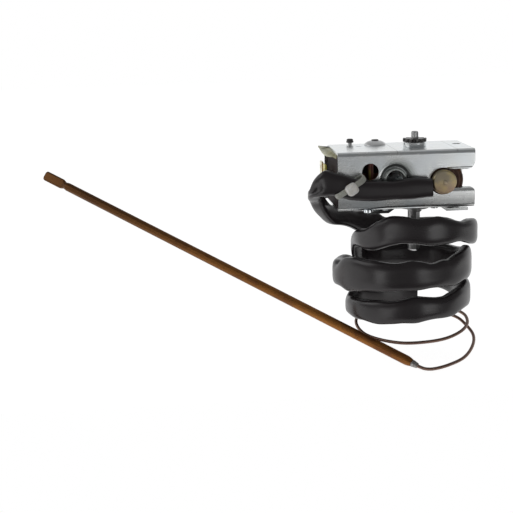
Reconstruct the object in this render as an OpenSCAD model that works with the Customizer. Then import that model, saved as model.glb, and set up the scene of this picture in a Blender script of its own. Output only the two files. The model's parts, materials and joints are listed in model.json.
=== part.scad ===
// Capillary oven thermostat: spindle and cam, range spring, pressure capsule, switch, sensing bulb.
// Millimetres. Origin on the spindle axis at the mounting face; +Z points away from the panel,
// +X along the casing towards the capsule, -Y to the side where the capsule's head shows.

/* [Casing] */
// casing length along X
case_l = 58.2; // [50:0.1:70]
// casing depth along Y
case_d = 31; // [26:0.5:36]
// casing height along Z
case_h = 24.7; // [20:0.1:30]
// casing sheet thickness
sheet_t = 1.1; // [0.8:0.1:1.6]
// outside radius of the sheet's bends
bend_r = 1.8; // [1.5:0.1:3]
// distance from the spindle axis to the left end
case_left = 35.7; // [30:0.1:40]
// height of the casing's underside over the mounting face
case_z = 3; // [2.5:0.1:4]
// clear height of the capsule slot
slot_h = 7.3; // [6:0.1:9]
// inside diameter of the round opening at the slot's end
slot_eye_d = 11.4; // [10.8:0.1:14]
// diameter of the adjusting window
window_d = 7.1; // [5:0.1:9]
// outside diameter of the raised ring
ring_od = 9.8; // [8:0.1:11]
// inside diameter of the raised ring
ring_id = 7.1; // [5:0.1:8]

/* [Mounting] */
// distance between the two tapped fixing holes
fix_pitch = 34; // [28:0.5:40]
// core diameter of the tapped fixing holes
fix_core_d = 3.3; // [2.5:0.1:4.2]
// bracket strip thickness
bracket_t = 1.2; // [1:0.1:2]
// bracket strip width
bracket_w = 13; // [10:0.5:18]

/* [Spindle] */
// spindle diameter
spindle_d = 6; // [4:0.1:8]
// spindle length below the mounting face
spindle_out = 17.8; // [10:0.1:30]
// spindle thickness over the flat
spindle_flat = 4.6; // [4:0.1:5.5]
// direction of the flat, degrees from +X
flat_angle = -32; // [-90:1:90]
// tail pin diameter
tail_d = 3.1; // [2:0.1:4]
// top of the tail pin over the mounting face
tail_z = 34.1; // [31:0.1:38]
// radial running clearance of shafts in their bores
run_gap = 0.05; // [0.02:0.01:0.1]
// cam radius at the cold end
cam_r0 = 4.2; // [4:0.1:5]
// cam rise over the full turn
cam_rise = 2.2; // [1:0.1:2.2]
// turning range of the spindle in degrees
turn_range = 270; // [200:5:280]
// gap left between faces that meet in use
face_gap = 0.3; // [0.2:0.05:0.5]

/* [Capsule] */
// distance from the casing's right end to the capsule centre
caps_in = 13.8; // [12:0.1:16]
// capsule centre height
caps_z = 14.4; // [13:0.1:16]
// capsule diameter
caps_d = 18.2; // [16:0.1:19]
// capsule thickness
caps_t = 4; // [3:0.1:4]
// diameter of the brass head outside
head_d = 10.2; // [9:0.1:12]
// thickness of the brass head
head_t = 3.6; // [3:0.1:5]
// diameter of the push button
button_d = 3.2; // [2:0.1:4]

/* [Switch] */
// width of the tab terminals
tab_w = 6.3; // [4.8:0.1:6.3]
// thickness of the tab terminals
tab_t = 0.8; // [0.5:0.1:0.8]
// length of the tab terminals above their feet
tab_l = 7; // [6.4:0.1:8]

/* [Sensing line] */
// outside diameter of the capillary
cap_d = 1.4; // [1:0.1:2]
// wall thickness of the insulating sleeve
sleeve_wall = 0.8; // [0.5:0.1:1]
// bulb diameter
bulb_d = 4; // [3:0.1:6]
// width of the bulb's flattened end
paddle_w = 4.9; // [4:0.1:6]
// thickness of the bulb's flattened end
paddle_t = 1.7; // [1:0.1:2.5]

/* [Hidden] */
$fn = 48;
steel = [0.72, 0.73, 0.74];
dull_steel = [0.55, 0.55, 0.56];
dark_metal = [0.16, 0.15, 0.14];
brass = [0.78, 0.63, 0.33];
copper = [0.45, 0.29, 0.18];
bronze = [0.3, 0.19, 0.12];
silver = [0.86, 0.86, 0.84];
phenolic = [0.09, 0.06, 0.05];
card = [0.86, 0.85, 0.66];
black = [0.05, 0.05, 0.055];
nylon = [0.72, 0.68, 0.6];

eps = 0.02;
x_left = -case_left;
x_right = case_l - case_left;
y_front = -case_d / 2;
y_back = case_d / 2;
z_low = case_z;
z_top = case_z + case_h;
web_in = y_front + sheet_t;
floor_z = z_low + sheet_t;
roof_z = z_top - sheet_t;

caps_x = x_right - caps_in;
window_x = -22.1;
window_z = 19.4;
ring_x = -11.6;
ring_z = 15.9;
ring_proud = 0.6;
dish_d = 13.6;
dish_t = 0.7;
dish_steps = 6;
slot_z0 = caps_z - slot_h / 2 + 0.75;
slot_z1 = slot_z0 + slot_h;
lip_x = caps_x + 1.8;
lip_flat = 1.2;

bush_d = 9;
bush_flange_d = 12;
bush_flange_t = 0.9;
bush_top = floor_z + 1.9;
bracket_z = z_low - bracket_t;
lug_ramp_x = 10;
lug_flat_x = 12.6;
lug_end_x = 22;
tap_collar_d = 5.6;
tap_collar_h = 2.8;
rivet_x = 7.6;
rivet_y = 4.6;
rivet_d = 1.8;
rivet_head_d = 3;

collar_d = 9.8;
collar_h = 1.9;
collar_z = z_top + collar_h;
star_d = 10.3;
star_t = 1.3;
star_teeth = 12;
shoulder_z = roof_z - face_gap;

shaft_collar_d = 8;
cam_z = 7.2;
cam_t = 2;
cam_blend = 25;
stop_z = 20;
stop_t = 1.5;
stop_r = 10.5;
peg_r = 9.5;
peg_d = 3;
stop_half = (360 - turn_range) / 2 - asin(peg_d / 2 / peg_r) - 1.2;

slide_z = 7.4;
slide_t = 1.6;
slide_x0 = -12.5;
slide_x1 = -7;
slide_nose = -(cam_r0 + face_gap);
slide_front = slide_nose - 3.1;
seat_y = 4;
seat_t = 1.2;
seat_top = 18;
guide_x = (slide_x0 + slide_x1) / 2;
guide_d = 2.4;
guide_y = [-5, -0.8];
guide_slot = 2.6;
spring_z = 14.5;
spring_r = 2.1;
spring_wire = 0.7;
spring_turns = 6;

lever_y = web_in + caps_t + 1.9;
lever_t = 1.2;
lever_z = 13;
lever_h = 3;
lever_tip_x = -17.4;
pin_x = x_right - 5.7;
pin_y = lever_y + lever_t / 2;
pin_d = 2.2;
hub_d = 5;
spacer_d = 4;
tip_x = -16.2;

block_x1 = -13.5;
block_x0 = x_left - 0.2;
block_wall = 2.5;
block_edge = bend_r - sheet_t + eps;
block_back = 1.2;
block_floor = 8;
foot_z = 14.2;
foot_r = 0.5;
foot_edge = 1.6;
tab_tip = 0.8;
tab_x = block_x0 - 3.4;
tab_a_y = y_back - 8;
tab_b_y = -2.4;
drop_x0 = -24;
drop_x1 = -18.6;
pillar_top = 22.2;
pillar_x = -21.3;
pillar_y = lever_y - 1.1;
pillar_d = 3;
contact_z = 15;
arm_h = 5;
arm_z = contact_z - arm_h / 2;
contact_y = lever_y + lever_t;
post_x = -30.2;
post_y = lever_y + 2.5;
arm_t = 0.8;
post_top = 20;
arm_eye_d = 4;
arm_end_x = -14.8;
leaf_x = -21.6;
leaf_r = block_back - post_y - 1;
leaf_t = 0.35;

screw_d = 2.4;
screw_head_d = 4.2;
screw_head_h = 1.1;
cover_screw_d = 2;
cover_head_d = 4;
cover_head_h = 1.3;
block_screw_at = [[-22.5, web_in + 2.1], [-26, 8.5]];
cover_screw_at = [[-29, 10], [-17, 18]];
cover_screw_depth = 3.4;
vent_x = x_right - 3.6;
slit_x0 = -24.6;
slit_x1 = -22.3;
slit_y0 = 4.7;
slit_y1 = 5.7;
tab_corner_high = 4;
tab_corner_low = 2.2;

card_t = 0.5;
card_front = y_front + bend_r;
card_back = y_back - sheet_t - 0.2;
card_right = block_x1 - 0.1;
card_left = block_x0 - 0.1;
flap_reach = 3.9;
flap_droop = 2.6;
flap_steps = 10;
block_top = roof_z - card_t - face_gap;
cover_over = 1.4;

stud_at = [-26, 12.8];
boss_at = [-15.4, 10];

run_y = y_front - 3.9;
head_y = y_front - 0.7;
neck_d = 7;
bore_y = y_front - 2.5;
bore_z = caps_z - 0.6;

sleeve_pts = [
    [caps_x - 5.7, run_y, 12.9, 8.6, 6], [-4, run_y, 12.6, 8.8, 6], [-12.5, run_y, 12, 8, 5.9],
    [-21, run_y, 11.9, 8.3, 5.8], [-30, run_y, 13, 9, 5.8], [-37, run_y, 15.2, 9.4, 5.6],
    [-42, -18.6, 15.2, 10, 5.2], [-45.2, -15.4, 13.4, 8.4, 5.2], [-45.6, -10.5, 10.3, 7.2, 5.6],
    [-43.6, -5, 6.8, 6.6, 6], [-39.3, 2, 1.2, 6.6, 6], [-31.9, 9, -3.7, 7.2, 6], [-23.5, 14.5, -8, 8.5, 5.8],
    [-12.5, 19, -10.8, 9.5, 5.6], [0, 21, -12.2, 10, 5.4], [12, 18.5, -12.2, 10.5, 5.4],
    [21, 10.5, -11.4, 11, 5.4], [25.3, -0.5, -10.4, 11, 5.4], [21, -13.5, -7.7, 10.5, 5.4],
    [12, -21.5, -5.9, 10, 5.4], [0, -24.8, -5.1, 11.6, 5.4], [-12, -21.6, -4.5, 11.7, 5.4],
    [-21, -13, -9.3, 10.4, 5.4], [-25, 0, -12.4, 6.2, 5.4], [-22.5, 13, -20.2, 11, 5.4],
    [-13, 21.5, -23.4, 10.5, 5.4], [1, 23.5, -24.4, 10.5, 5.4], [13, 20.5, -24.8, 11, 5.4],
    [21, 11, -24.8, 11.5, 5.4], [23, 0, -24, 12, 5.4], [17.5, -15.5, -21.8, 14.1, 5.4],
    [8, -23.5, -23.6, 11.2, 5.4], [-4, -27.2, -23.2, 11.9, 5.4], [-16, -25, -23.7, 12.3, 5.4],
    [-27, -16, -24.3, 14.3, 5.4], [-33.5, -1.5, -26.3, 11.5, 5.4], [-30.5, 14, -28.8, 11, 5.4],
    [-20, 24, -32, 10.5, 5.4], [-4, 29, -34, 10.5, 5.4], [12, 26.6, -35.6, 10.5, 5.2],
    [21.8, 14, -37.2, 11, 5.2], [23, -1, -37, 12, 5.4], [18, -13.5, -36.3, 11, 5.4],
    [9, -21.5, -38.2, 9.2, 5.4], [-3, -24.5, -38.4, 10.7, 5.4], [-14, -21.7, -39.8, 10.3, 5.4],
    [-23.5, -12.5, -40.7, 9.5, 5.4], [-27.5, 0, -41.6, 7.5, 5.4], [-24, 11.5, -41.8, 11, 5.4],
    [-14, 17.8, -42.6, 10.5, 5.2], [-3, 20, -43, 10, 5], [7, 19.6, -43.2, 10, 5]
];
bare_pts = [
    [14, 18.5, -44], [20.5, 11.5, -46], [23.8, 2, -48.8], [22.5, -8, -50], [17, -16.5, -50.6],
    [9, -22, -51.8], [0, -24, -52.9], [-10, -22.5, -53.3], [-19, -16, -53], [-24.3, -7.5, -52.2],
    [-25.9, 1, -49.8], [-22, 12, -49], [-12, 20.5, -49.4], [2, 23.5, -50.4], [14, 19.5, -51.4],
    [21.7, 12.5, -52.4], [25.4, 5, -54.6], [26.4, -4, -57], [23, -14, -59.2], [16.5, -22.5, -61.2],
    [9, -27, -62.6], [2.5, -29.9, -63], [-1.8, -31.6, -62.4]
];
bulb_near = [-7.4, -29.3, -60];
bulb_far = [-168, 103, 7.5];
bulb_len = norm(bulb_far - bulb_near);
bulb_dir = (bulb_far - bulb_near) / bulb_len;
taper_l = 3;
tip_d = 3.1;
bulb_bore_d = 1.9;
paddle_l = 13.7;
paddle_turn = 26;
paddle_round = 1.2;
neck_l = 2.5;
neck_d2 = 3.2;
bead_l = 3;

tie_w = 2.4;
tie_t = 0.8;
tie_r = 1.2;
tie_y0 = run_y + 3.4;
tie_y1 = run_y - 3.5;
tie_angle = 148.5;
tie_origin = [-25.95, 0, 17.4];
tie_corners = [[0.3, tie_y1], [15.7, tie_y1], [15.7, tie_y0], [-1.3, tie_y0], [-1.3, run_y - 1.2]];
tie_head = [5.2, 3.6, 5];
tie_head_s = 3.9;
tie_head_drop = 0.3;

function spline(a, b, c, d, t) =
    0.5 * (2 * b + (c - a) * t + (2 * a - 5 * b + 4 * c - d) * t * t
    + (3 * b - a - 3 * c + d) * t * t * t);
function smooth_path(p, n) = [
    for (i = [0 : len(p) - 2], k = [0 : n - 1])
        spline(p[max(i - 1, 0)], p[i], p[i + 1], p[min(i + 2, len(p) - 1)], k / n),
    p[len(p) - 1]
];
function unit(v) = v / norm(v);
function xyz(p) = [p[0], p[1], p[2]];
function heading(c, i) = unit(xyz(c[min(i + 1, len(c) - 1)]) - xyz(c[max(i - 1, 0)]));
function side(t) = unit(cross(t, [0, 0, 1]));
function loop_section(c, w, h, t, n) =
    let (s = side(t), b = cross(s, t), f = max(w - h, 0) / 2)
    [for (k = [0 : n - 1])
        let (a = 360 * (k + 0.5) / n)
        c + b * (f * sign(cos(a)) + h / 2 * cos(a)) + s * h / 2 * sin(a)];
function wall_faces(m, n, base, flip) = [
    for (i = [0 : m - 2], k = [0 : n - 1], half = [0, 1])
        let (
            p = base + i * n + k,
            q = base + i * n + (k + 1) % n,
            tri = half == 0 ? [p, q, q + n] : [p, q + n, p + n]
        )
        flip ? [tri[2], tri[1], tri[0]] : tri
];

module tube_sweep(c, wall, n) {
    m = len(c);
    outer = [for (i = [0 : m - 1]) each loop_section(xyz(c[i]), c[i][3], c[i][4], heading(c, i), n)];
    inner = [for (i = [0 : m - 1])
        each loop_section(xyz(c[i]), c[i][3] - 2 * wall, c[i][4] - 2 * wall, heading(c, i), n)];
    mn = m * n;
    last = mn - n;
    ends = [
        for (k = [0 : n - 1], half = [0, 1])
            let (q = (k + 1) % n)
            half == 0 ? [k, mn + k, mn + q] : [k, mn + q, q],
        for (k = [0 : n - 1], half = [0, 1])
            let (p = last + k, q = last + (k + 1) % n)
            half == 0 ? [p, q, mn + q] : [p, mn + q, mn + p]
    ];
    polyhedron(
        points = concat(outer, inner),
        faces = concat(wall_faces(m, n, 0, true), wall_faces(m, n, mn, false), ends)
    );
}

module wire_sweep(c, d, n) {
    m = len(c);
    pts = [for (i = [0 : m - 1]) each loop_section(xyz(c[i]), d, d, heading(c, i), n)];
    caps = [
        for (k = [1 : n - 2]) [0, k, k + 1],
        for (k = [1 : n - 2]) [(m - 1) * n, (m - 1) * n + k + 1, (m - 1) * n + k]
    ];
    polyhedron(points = pts, faces = concat(wall_faces(m, n, 0, true), caps));
}

module box(x0, x1, y0, y1, z0, z1) {
    translate([x0, y0, z0])
        cube([x1 - x0, y1 - y0, z1 - z0]);
}

module rod_z(x, y, d, z0, z1) {
    translate([x, y, z0])
        cylinder(d = d, h = z1 - z0);
}

module rod_y(x, z, d, y0, y1) {
    translate([x, y0, z])
        rotate([-90, 0, 0])
            cylinder(d = d, h = y1 - y0);
}

module sheet_bend(x0, x1, y, z, r, sy, sz) {
    intersection() {
        translate([x0, y, z])
            rotate([0, 90, 0])
                difference() {
                    cylinder(r = r, h = x1 - x0);
                    translate([0, 0, -1])
                        cylinder(r = r - sheet_t, h = x1 - x0 + 2);
                }
        box(x0 - 1, x1 + 1, min(y, y + sy * r), max(y, y + sy * r), min(z, z + sz * r),
            max(z, z + sz * r));
    }
}

// what is cut away to round a corner at the web's right end; dir points into the sheet
module tab_corner(z, r, dir) {
    difference() {
        box(x_right - r, x_right + 1, y_front - 1, web_in + lip_flat + 2, min(z, z + dir * r) - 0.01,
            max(z, z + dir * r) + 0.01);
        rod_y(x_right - r, z + dir * r, 2 * r, y_front - 2, web_in + lip_flat + 3);
    }
}

// body of the pressed dish below the plane y, its rim wider by over; its curve falls as a cosine
module dish(y, over) {
    rim = (dish_d + over) / 2;
    core = (ring_od + over) / 2;
    translate([ring_x, y - eps, ring_z])
        rotate([-90, 0, 0])
            rotate_extrude()
                polygon(concat(
                    [[0, 0], [rim, 0]],
                    [for (k = [0 : dish_steps])
                        [rim - (rim - core) * k / dish_steps,
                            eps + dish_t * (1 - cos(180 * k / dish_steps)) / 2]],
                    [[0, dish_t + eps]]
                ));
}

// one folded sheet: front web, top and bottom flanges, slot with turned-in lips
module casing() color(steel) {
    yb = y_front + bend_r;
    difference() {
        union() {
            box(x_left, x_right, y_front, web_in, z_low + bend_r, z_top - bend_r);
            box(x_left, x_right, yb, y_back, roof_z, z_top);
            box(x_left, x_right, yb, y_back, z_low, floor_z);
            sheet_bend(x_left, x_right, yb, z_top - bend_r, bend_r, -1, 1);
            sheet_bend(x_left, x_right, yb, z_low + bend_r, bend_r, -1, -1);
            dish(web_in, 1.2);
        }
        rod_y(window_x, window_z, window_d, y_front - 1, web_in + 1);
        dish(y_front, 0);
        rod_y(ring_x, ring_z, ring_id, y_front - 1, web_in + 2);
        rod_y(caps_x, caps_z, slot_eye_d, y_front - 1, web_in + 1);
        box(lip_x, x_right + 1, y_front - 1, web_in + eps, slot_z0 - bend_r, slot_z1 + bend_r);
        rod_z(0, 0, bush_d, z_low - 1, floor_z + 1);
        rod_z(0, 0, 6, roof_z - 1, z_top + 1);
        rod_z(vent_x, 3.2, 3.4, roof_z - 1, z_top + 1);
        tab_corner(slot_z1, tab_corner_high, 1);
        tab_corner(slot_z0, tab_corner_low, -1);

        box(slit_x0, slit_x1, slit_y0, slit_y1, roof_z - 1, z_top + 1);
        rod_z(pin_x, pin_y, pin_d, z_low - 1, floor_z + 1);
        for (s = [-1, 1])
            rod_z(s * rivet_x, -s * rivet_y, rivet_d, z_low - 1, floor_z + 1);
        for (p = block_screw_at)
            rod_z(p[0], p[1], screw_d, z_low - 1, floor_z + 1);
        rod_z(boss_at[0], boss_at[1], 2.2, roof_z - 1, z_top + 1);
        rod_z(stud_at[0], stud_at[1], 1.8, roof_z - 1, z_top + 1);
    }
    translate([ring_x, y_front, ring_z])
        rotate([90, 0, 0])
            rotate_extrude()
                polygon([
                    [ring_id / 2, -sheet_t - dish_t], [ring_od / 2, -sheet_t - dish_t],
                    [ring_od / 2, ring_proud - 0.45], [ring_od / 2 - 0.15, ring_proud - 0.15],
                    [ring_od / 2 - 0.45, ring_proud], [ring_id / 2 + 0.35, ring_proud],
                    [ring_id / 2 + 0.1, ring_proud - 0.1], [ring_id / 2, ring_proud - 0.35]
                ]);
    difference() {
        union() {
            sheet_bend(lip_x, x_right, yb, slot_z0 - bend_r, bend_r, -1, 1);
            box(lip_x, x_right, yb, yb + lip_flat, slot_z0 - sheet_t, slot_z0);
            sheet_bend(lip_x, x_right, yb, slot_z1 + bend_r, bend_r, -1, -1);
            box(lip_x, x_right, yb, yb + lip_flat, slot_z1, slot_z1 + sheet_t);
        }
        rod_y(caps_x, caps_z, slot_eye_d, y_front - 1, y_front + 5);
        rod_y(caps_x, caps_z, caps_d + 0.6, web_in - eps, y_front + 5);
        tab_corner(slot_z1, tab_corner_high, 1);
        tab_corner(slot_z0, tab_corner_low, -1);
    }
}
module rear_cover() color(steel)
    difference() {
        box(x_left - cover_over, x_right, y_back - sheet_t, y_back - 0.1, floor_z, roof_z);
        for (p = cover_screw_at)
            rod_y(p[0], p[1], cover_screw_d, y_back - 2, y_back + 1);
    }

// joggled strip under the casing with a tapped collar in each lug
module mount_bracket() color(steel)
    difference() {
        union() {
            translate([0, bracket_w / 2, 0])
                rotate([90, 0, 0])
                    linear_extrude(bracket_w)
                        polygon([
                            [-lug_end_x, 0], [-lug_flat_x, 0], [-lug_ramp_x, bracket_z],
                            [lug_ramp_x, bracket_z], [lug_flat_x, 0], [lug_end_x, 0],
                            [lug_end_x, bracket_t], [lug_flat_x + 0.5, bracket_t],
                            [lug_ramp_x + 0.5, z_low], [-lug_ramp_x - 0.5, z_low],
                            [-lug_flat_x - 0.5, bracket_t], [-lug_end_x, bracket_t]
                        ]);
            for (s = [-1, 1])
                rod_z(s * fix_pitch / 2, 0, tap_collar_d, 0, tap_collar_h);
        }
        for (s = [-1, 1])
            rod_z(s * fix_pitch / 2, 0, fix_core_d, -1, tap_collar_h + 1);
        rod_z(0, 0, bush_d, -1, z_low + 1);
        for (s = [-1, 1])
            rod_z(s * rivet_x, -s * rivet_y, rivet_d, -1, z_low + 1);
    }

module bracket_rivets() color(steel)
    for (s = [-1, 1]) {
        rod_z(s * rivet_x, -s * rivet_y, rivet_d, bracket_z, floor_z);
        rod_z(s * rivet_x, -s * rivet_y, rivet_head_d, bracket_z - 0.6, bracket_z);
        rod_z(s * rivet_x, -s * rivet_y, rivet_head_d, floor_z, floor_z + 0.5);
    }

module spindle_bush() color(dull_steel)
    difference() {
        union() {
            rod_z(0, 0, bush_flange_d, bracket_z - bush_flange_t, bracket_z);
            rod_z(0, 0, bush_d, bracket_z, bush_top);
        }
        rod_z(0, 0, spindle_d + 2 * run_gap, -1, bush_top + 1);
    }

module top_collar() color(steel)
    difference() {
        union() {
            rod_z(0, 0, collar_d, z_top, collar_z);
            rod_z(0, 0, 6, roof_z, z_top);
        }
        rod_z(0, 0, tail_d + 2 * run_gap, roof_z - 1, collar_z + 1);
    }

module top_boss() color(steel)
    translate([boss_at[0], boss_at[1], z_top])
        difference() {
            rotate_extrude()
                polygon([
                    [0, 0], [4.9, 0], [4.8, 0.3], [4.3, 0.8], [3.5, 1.3], [2.6, 1.65], [1.7, 1.8],
                    [0, 1.8]
                ]);
            translate([0, 0, -1])
                cylinder(d = 2.2, h = 4);
        }

module boss_rivet() color(dark_metal) {
    rod_z(boss_at[0], boss_at[1], 2.2, roof_z, z_top + 1.8);
    rod_z(boss_at[0], boss_at[1], 3.2, z_top + 1.8, z_top + 2.3);
}

// headed stud with a groove round its head
module top_stud() color(dark_metal) {
    rod_z(stud_at[0], stud_at[1], 1.8, roof_z, z_top + 0.8);
    rod_z(stud_at[0], stud_at[1], 3.2, z_top + 0.8, z_top + 1.5);
    rod_z(stud_at[0], stud_at[1], 2.4, z_top + 1.5, z_top + 2);
    rod_z(stud_at[0], stud_at[1], 2.9, z_top + 2, z_top + 2.6);
}

module block_screws() color(steel)
    for (p = block_screw_at) {
        rod_z(p[0], p[1], screw_d, z_low, block_floor - 0.6);
        rod_z(p[0], p[1], screw_head_d, z_low - screw_head_h, z_low);
    }

// moulded housing, open to the front, the top and towards the spindle
module switch_block() color(phenolic)
    difference() {
        box(block_x0, block_x1, web_in, y_back - sheet_t, floor_z, block_top);
        box(block_x0 + block_wall, block_x1 + 1, web_in - 1, block_back, block_floor, block_top + 1);
        strip_a();
        strip_b();
        translate([block_x0 - 1, web_in, floor_z])
            rotate([90, 0, 90])
                linear_extrude(block_x1 - block_x0 + 2)
                    polygon([[-eps, -eps], [block_edge, -eps], [-eps, block_edge]]);
        rod_z(pillar_x, pillar_y, 2, floor_z + 1, block_floor + 1);
        rod_z(post_x, post_y, pin_d, floor_z + 1, block_floor + 1);
        for (p = block_screw_at)
            rod_z(p[0], p[1], screw_d, floor_z - 1, block_floor - 0.6);
        for (p = cover_screw_at)
            rod_y(p[0], p[1], cover_screw_d, y_back - sheet_t - cover_screw_depth, y_back);
    }

// waxed card under the top flange; its flap stands out at the left end and droops in the middle
module insulating_card() color(card) {
    difference() {
        box(card_left, card_right, card_front, card_back, roof_z - card_t, roof_z);
        rod_z(boss_at[0], boss_at[1], 3, roof_z - 1, roof_z + 1);
        rod_z(stud_at[0], stud_at[1], 2, roof_z - 1, roof_z + 1);
    }
    card_flap();
}

function flap_y(k) = card_front + (card_back - card_front) * k / flap_steps;
function flap_edge(k) =
    let (u = k / flap_steps)
    [card_left - flap_reach * max(u, 0.02), flap_y(k), roof_z - 1.2 * (1 - u) - flap_droop * sin(180 * u)];

module card_flap() {
    n = 4;
    rings = [
        for (k = [0 : flap_steps])
            let (e = flap_edge(k), y = flap_y(k), r = card_left + eps)
            each [[r, y, roof_z - card_t], e - [0, 0, card_t], e, [r, y, roof_z]]
    ];
    last = flap_steps * n;
    polyhedron(
        points = rings,
        faces = concat(
            wall_faces(flap_steps + 1, n, 0, false),
            [[0, 1, 2], [0, 2, 3], [last, last + 2, last + 1], [last, last + 3, last + 2]]
        )
    );
}

// upright tab in the YZ plane with a bent foot along X to x1
module tab_strip(y, x1) {
    translate([tab_x, y, foot_z])
        rotate([90, 0, 90])
            linear_extrude(tab_t)
                polygon([
                    [0, tab_t], [tab_w, tab_t], [tab_w, tab_l - tab_tip], [tab_w - tab_tip, tab_l],
                    [tab_tip, tab_l], [0, tab_l - tab_tip]
                ]);
    translate([tab_x, y + tab_w, foot_z])
        rotate([90, 0, 0])
            linear_extrude(tab_w)
                polygon(concat(
                    [for (a = [180 : 15 : 270]) foot_r * [1 + cos(a), 1 + sin(a)]],
                    [[x1 - tab_x, 0], [x1 - tab_x, tab_t], [0, tab_t]]
                ));
}

module strip_a() {
    tab_strip(tab_a_y, drop_x1);
    box(drop_x0, drop_x1, tab_a_y, tab_a_y + tab_t, block_floor, foot_z + tab_t);
    box(drop_x0, drop_x1, pillar_y - foot_edge, tab_a_y + tab_t, block_floor, block_floor + tab_t);
}

module strip_b() {
    inner = block_x0 + block_wall;
    tab_strip(tab_b_y, inner + tab_t);
    box(inner, inner + tab_t, post_y - 2, block_back, block_floor, foot_z + tab_t);
    box(inner, post_x + foot_edge, post_y - 2, post_y + 2, block_floor, block_floor + tab_t);
}

module tab_hole(y)
    translate([tab_x - 1, y + tab_w / 2, foot_z + tab_l - 2.4])
        rotate([0, 90, 0])
            cylinder(d = 1.6, h = tab_t + 2);

module terminal_a() color(brass)
    difference() {
        strip_a();
        tab_hole(tab_a_y);
        rod_z(pillar_x, pillar_y, 2, block_floor - 1, block_floor + 2);
    }

module terminal_b() color(brass)
    difference() {
        strip_b();
        tab_hole(tab_b_y);
        rod_z(post_x, post_y, pin_d, block_floor - 1, block_floor + 2);
    }

module contact_pillar() color(brass)
    difference() {
        union() {
            rod_z(pillar_x, pillar_y, pillar_d, block_floor + tab_t, pillar_top);
            rod_z(pillar_x, pillar_y, 2, floor_z + 1, block_floor + tab_t);
        }
        box(pillar_x - 2, pillar_x + 2, pillar_y + 1, pillar_y + 2, contact_z - 1.8, contact_z + 1.8);
        box(pillar_x - 2, pillar_x + 2, pillar_y - 0.3, pillar_y + 0.3, pillar_top - 0.7,
            pillar_top + 1);
    }

module fixed_contact() color(silver)
    rod_y(pillar_x, contact_z, 2.6, pillar_y + 1, contact_y);

module pivot_post() color(brass)
    rod_z(post_x, post_y, pin_d, floor_z + 1, post_top);

module contact_arm() color(brass)
    difference() {
        union() {
            rod_z(post_x, post_y, arm_eye_d, arm_z, arm_z + arm_h);
            box(post_x, arm_end_x, post_y - arm_t / 2, post_y + arm_t / 2, arm_z, arm_z + arm_h);
        }
        rod_z(post_x, post_y, pin_d + 2 * run_gap, arm_z - 1, arm_z + arm_h + 1);
    }

module moving_contact() color(silver)
    rod_y(pillar_x, contact_z, 2.8, contact_y + 0.05, post_y - arm_t / 2);

// bowed leaf that holds the contact arm closed
module contact_leaf() color(dull_steel)
    difference() {
        translate([leaf_x, block_back - leaf_r, contact_z - 1.4])
            difference() {
                cylinder(r = leaf_r, h = 2.8);
                translate([0, 0, -1])
                    cylinder(r = leaf_r - leaf_t, h = 5);
            }
        box(leaf_x - leaf_r - 1, leaf_x + leaf_r + 1, block_back - 2 * leaf_r - 1,
            post_y + arm_t / 2 + face_gap, contact_z - 5, contact_z + 5);
    }

module lever_pin() color(dull_steel)
    rod_z(pin_x, pin_y, pin_d, z_low, roof_z);

module lever_spacers() color(dull_steel)
    for (z = [[floor_z, lever_z - face_gap], [lever_z + lever_h + face_gap, roof_z]])
        difference() {
            rod_z(pin_x, pin_y, spacer_d, z[0], z[1]);
            rod_z(pin_x, pin_y, pin_d, z[0] - 1, z[1] + 1);
        }

module lever() color(steel)
    difference() {
        union() {
            rod_z(pin_x, pin_y, hub_d, lever_z, lever_z + lever_h);
            box(lever_tip_x, pin_x, lever_y, lever_y + lever_t, lever_z, lever_z + lever_h);
        }
        rod_z(pin_x, pin_y, pin_d + 2 * run_gap, lever_z - 1, lever_z + lever_h + 1);
    }

module lever_tip() color(phenolic)
    rod_y(tip_x, lever_z + lever_h / 2, 2.4, lever_y + lever_t, post_y - arm_t / 2 - face_gap);

// turned brass head outside the web, neck through the slot, blind bore for the capillary
module capsule_head() color(brass)
    difference() {
        union() {
            translate([caps_x, head_y, caps_z])
                rotate([90, 0, 0])
                    rotate_extrude()
                        polygon([
                            [0, 0], [head_d / 2, 0], [head_d / 2, head_t - 1.1],
                            [head_d / 2 - 0.5, head_t - 0.6], [0.9, head_t], [0.9, head_t + 0.3],
                            [0, head_t + 0.3]
                        ]);
            rod_y(caps_x, caps_z, neck_d, head_y, web_in);
        }
        translate([caps_x - head_d / 2 - 1, bore_y, bore_z])
            rotate([0, 90, 0])
                cylinder(d = cap_d + 0.3, h = 4);
    }

module capsule_shell() color(bronze)
    difference() {
        translate([caps_x, web_in, caps_z])
            rotate([-90, 0, 0])
                rotate_extrude()
                    polygon([
                        [0, 0], [caps_d / 2 - 0.5, 0], [caps_d / 2, 0.5], [caps_d / 2, 1.6],
                        [caps_d / 2 - 1.2, 2.1], [caps_d / 2 - 2, 2.6], [caps_d / 2 - 3.6, 2.8],
                        [caps_d / 2 - 4.6, caps_t], [0, caps_t]
                    ]);
        rod_y(caps_x, caps_z, button_d + 2 * run_gap, web_in + caps_t - 1, web_in + caps_t + 1);
    }

module push_button() color(silver)
    rod_y(caps_x, caps_z, button_d, web_in + caps_t - 0.9, lever_y - face_gap);

module range_spring() color(dull_steel) {
    y0 = lever_y + lever_t + face_gap;
    pitch = (seat_y - face_gap - y0 - spring_wire) / spring_turns;
    steps = 12;
    path = [for (i = [0 : spring_turns * steps])
        [guide_x + spring_r * cos(360 * i / steps), y0 + spring_wire / 2 + pitch * i / steps,
            spring_z + spring_r * sin(360 * i / steps)]];
    coil_sweep(path, spring_wire, 6);
}

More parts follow.
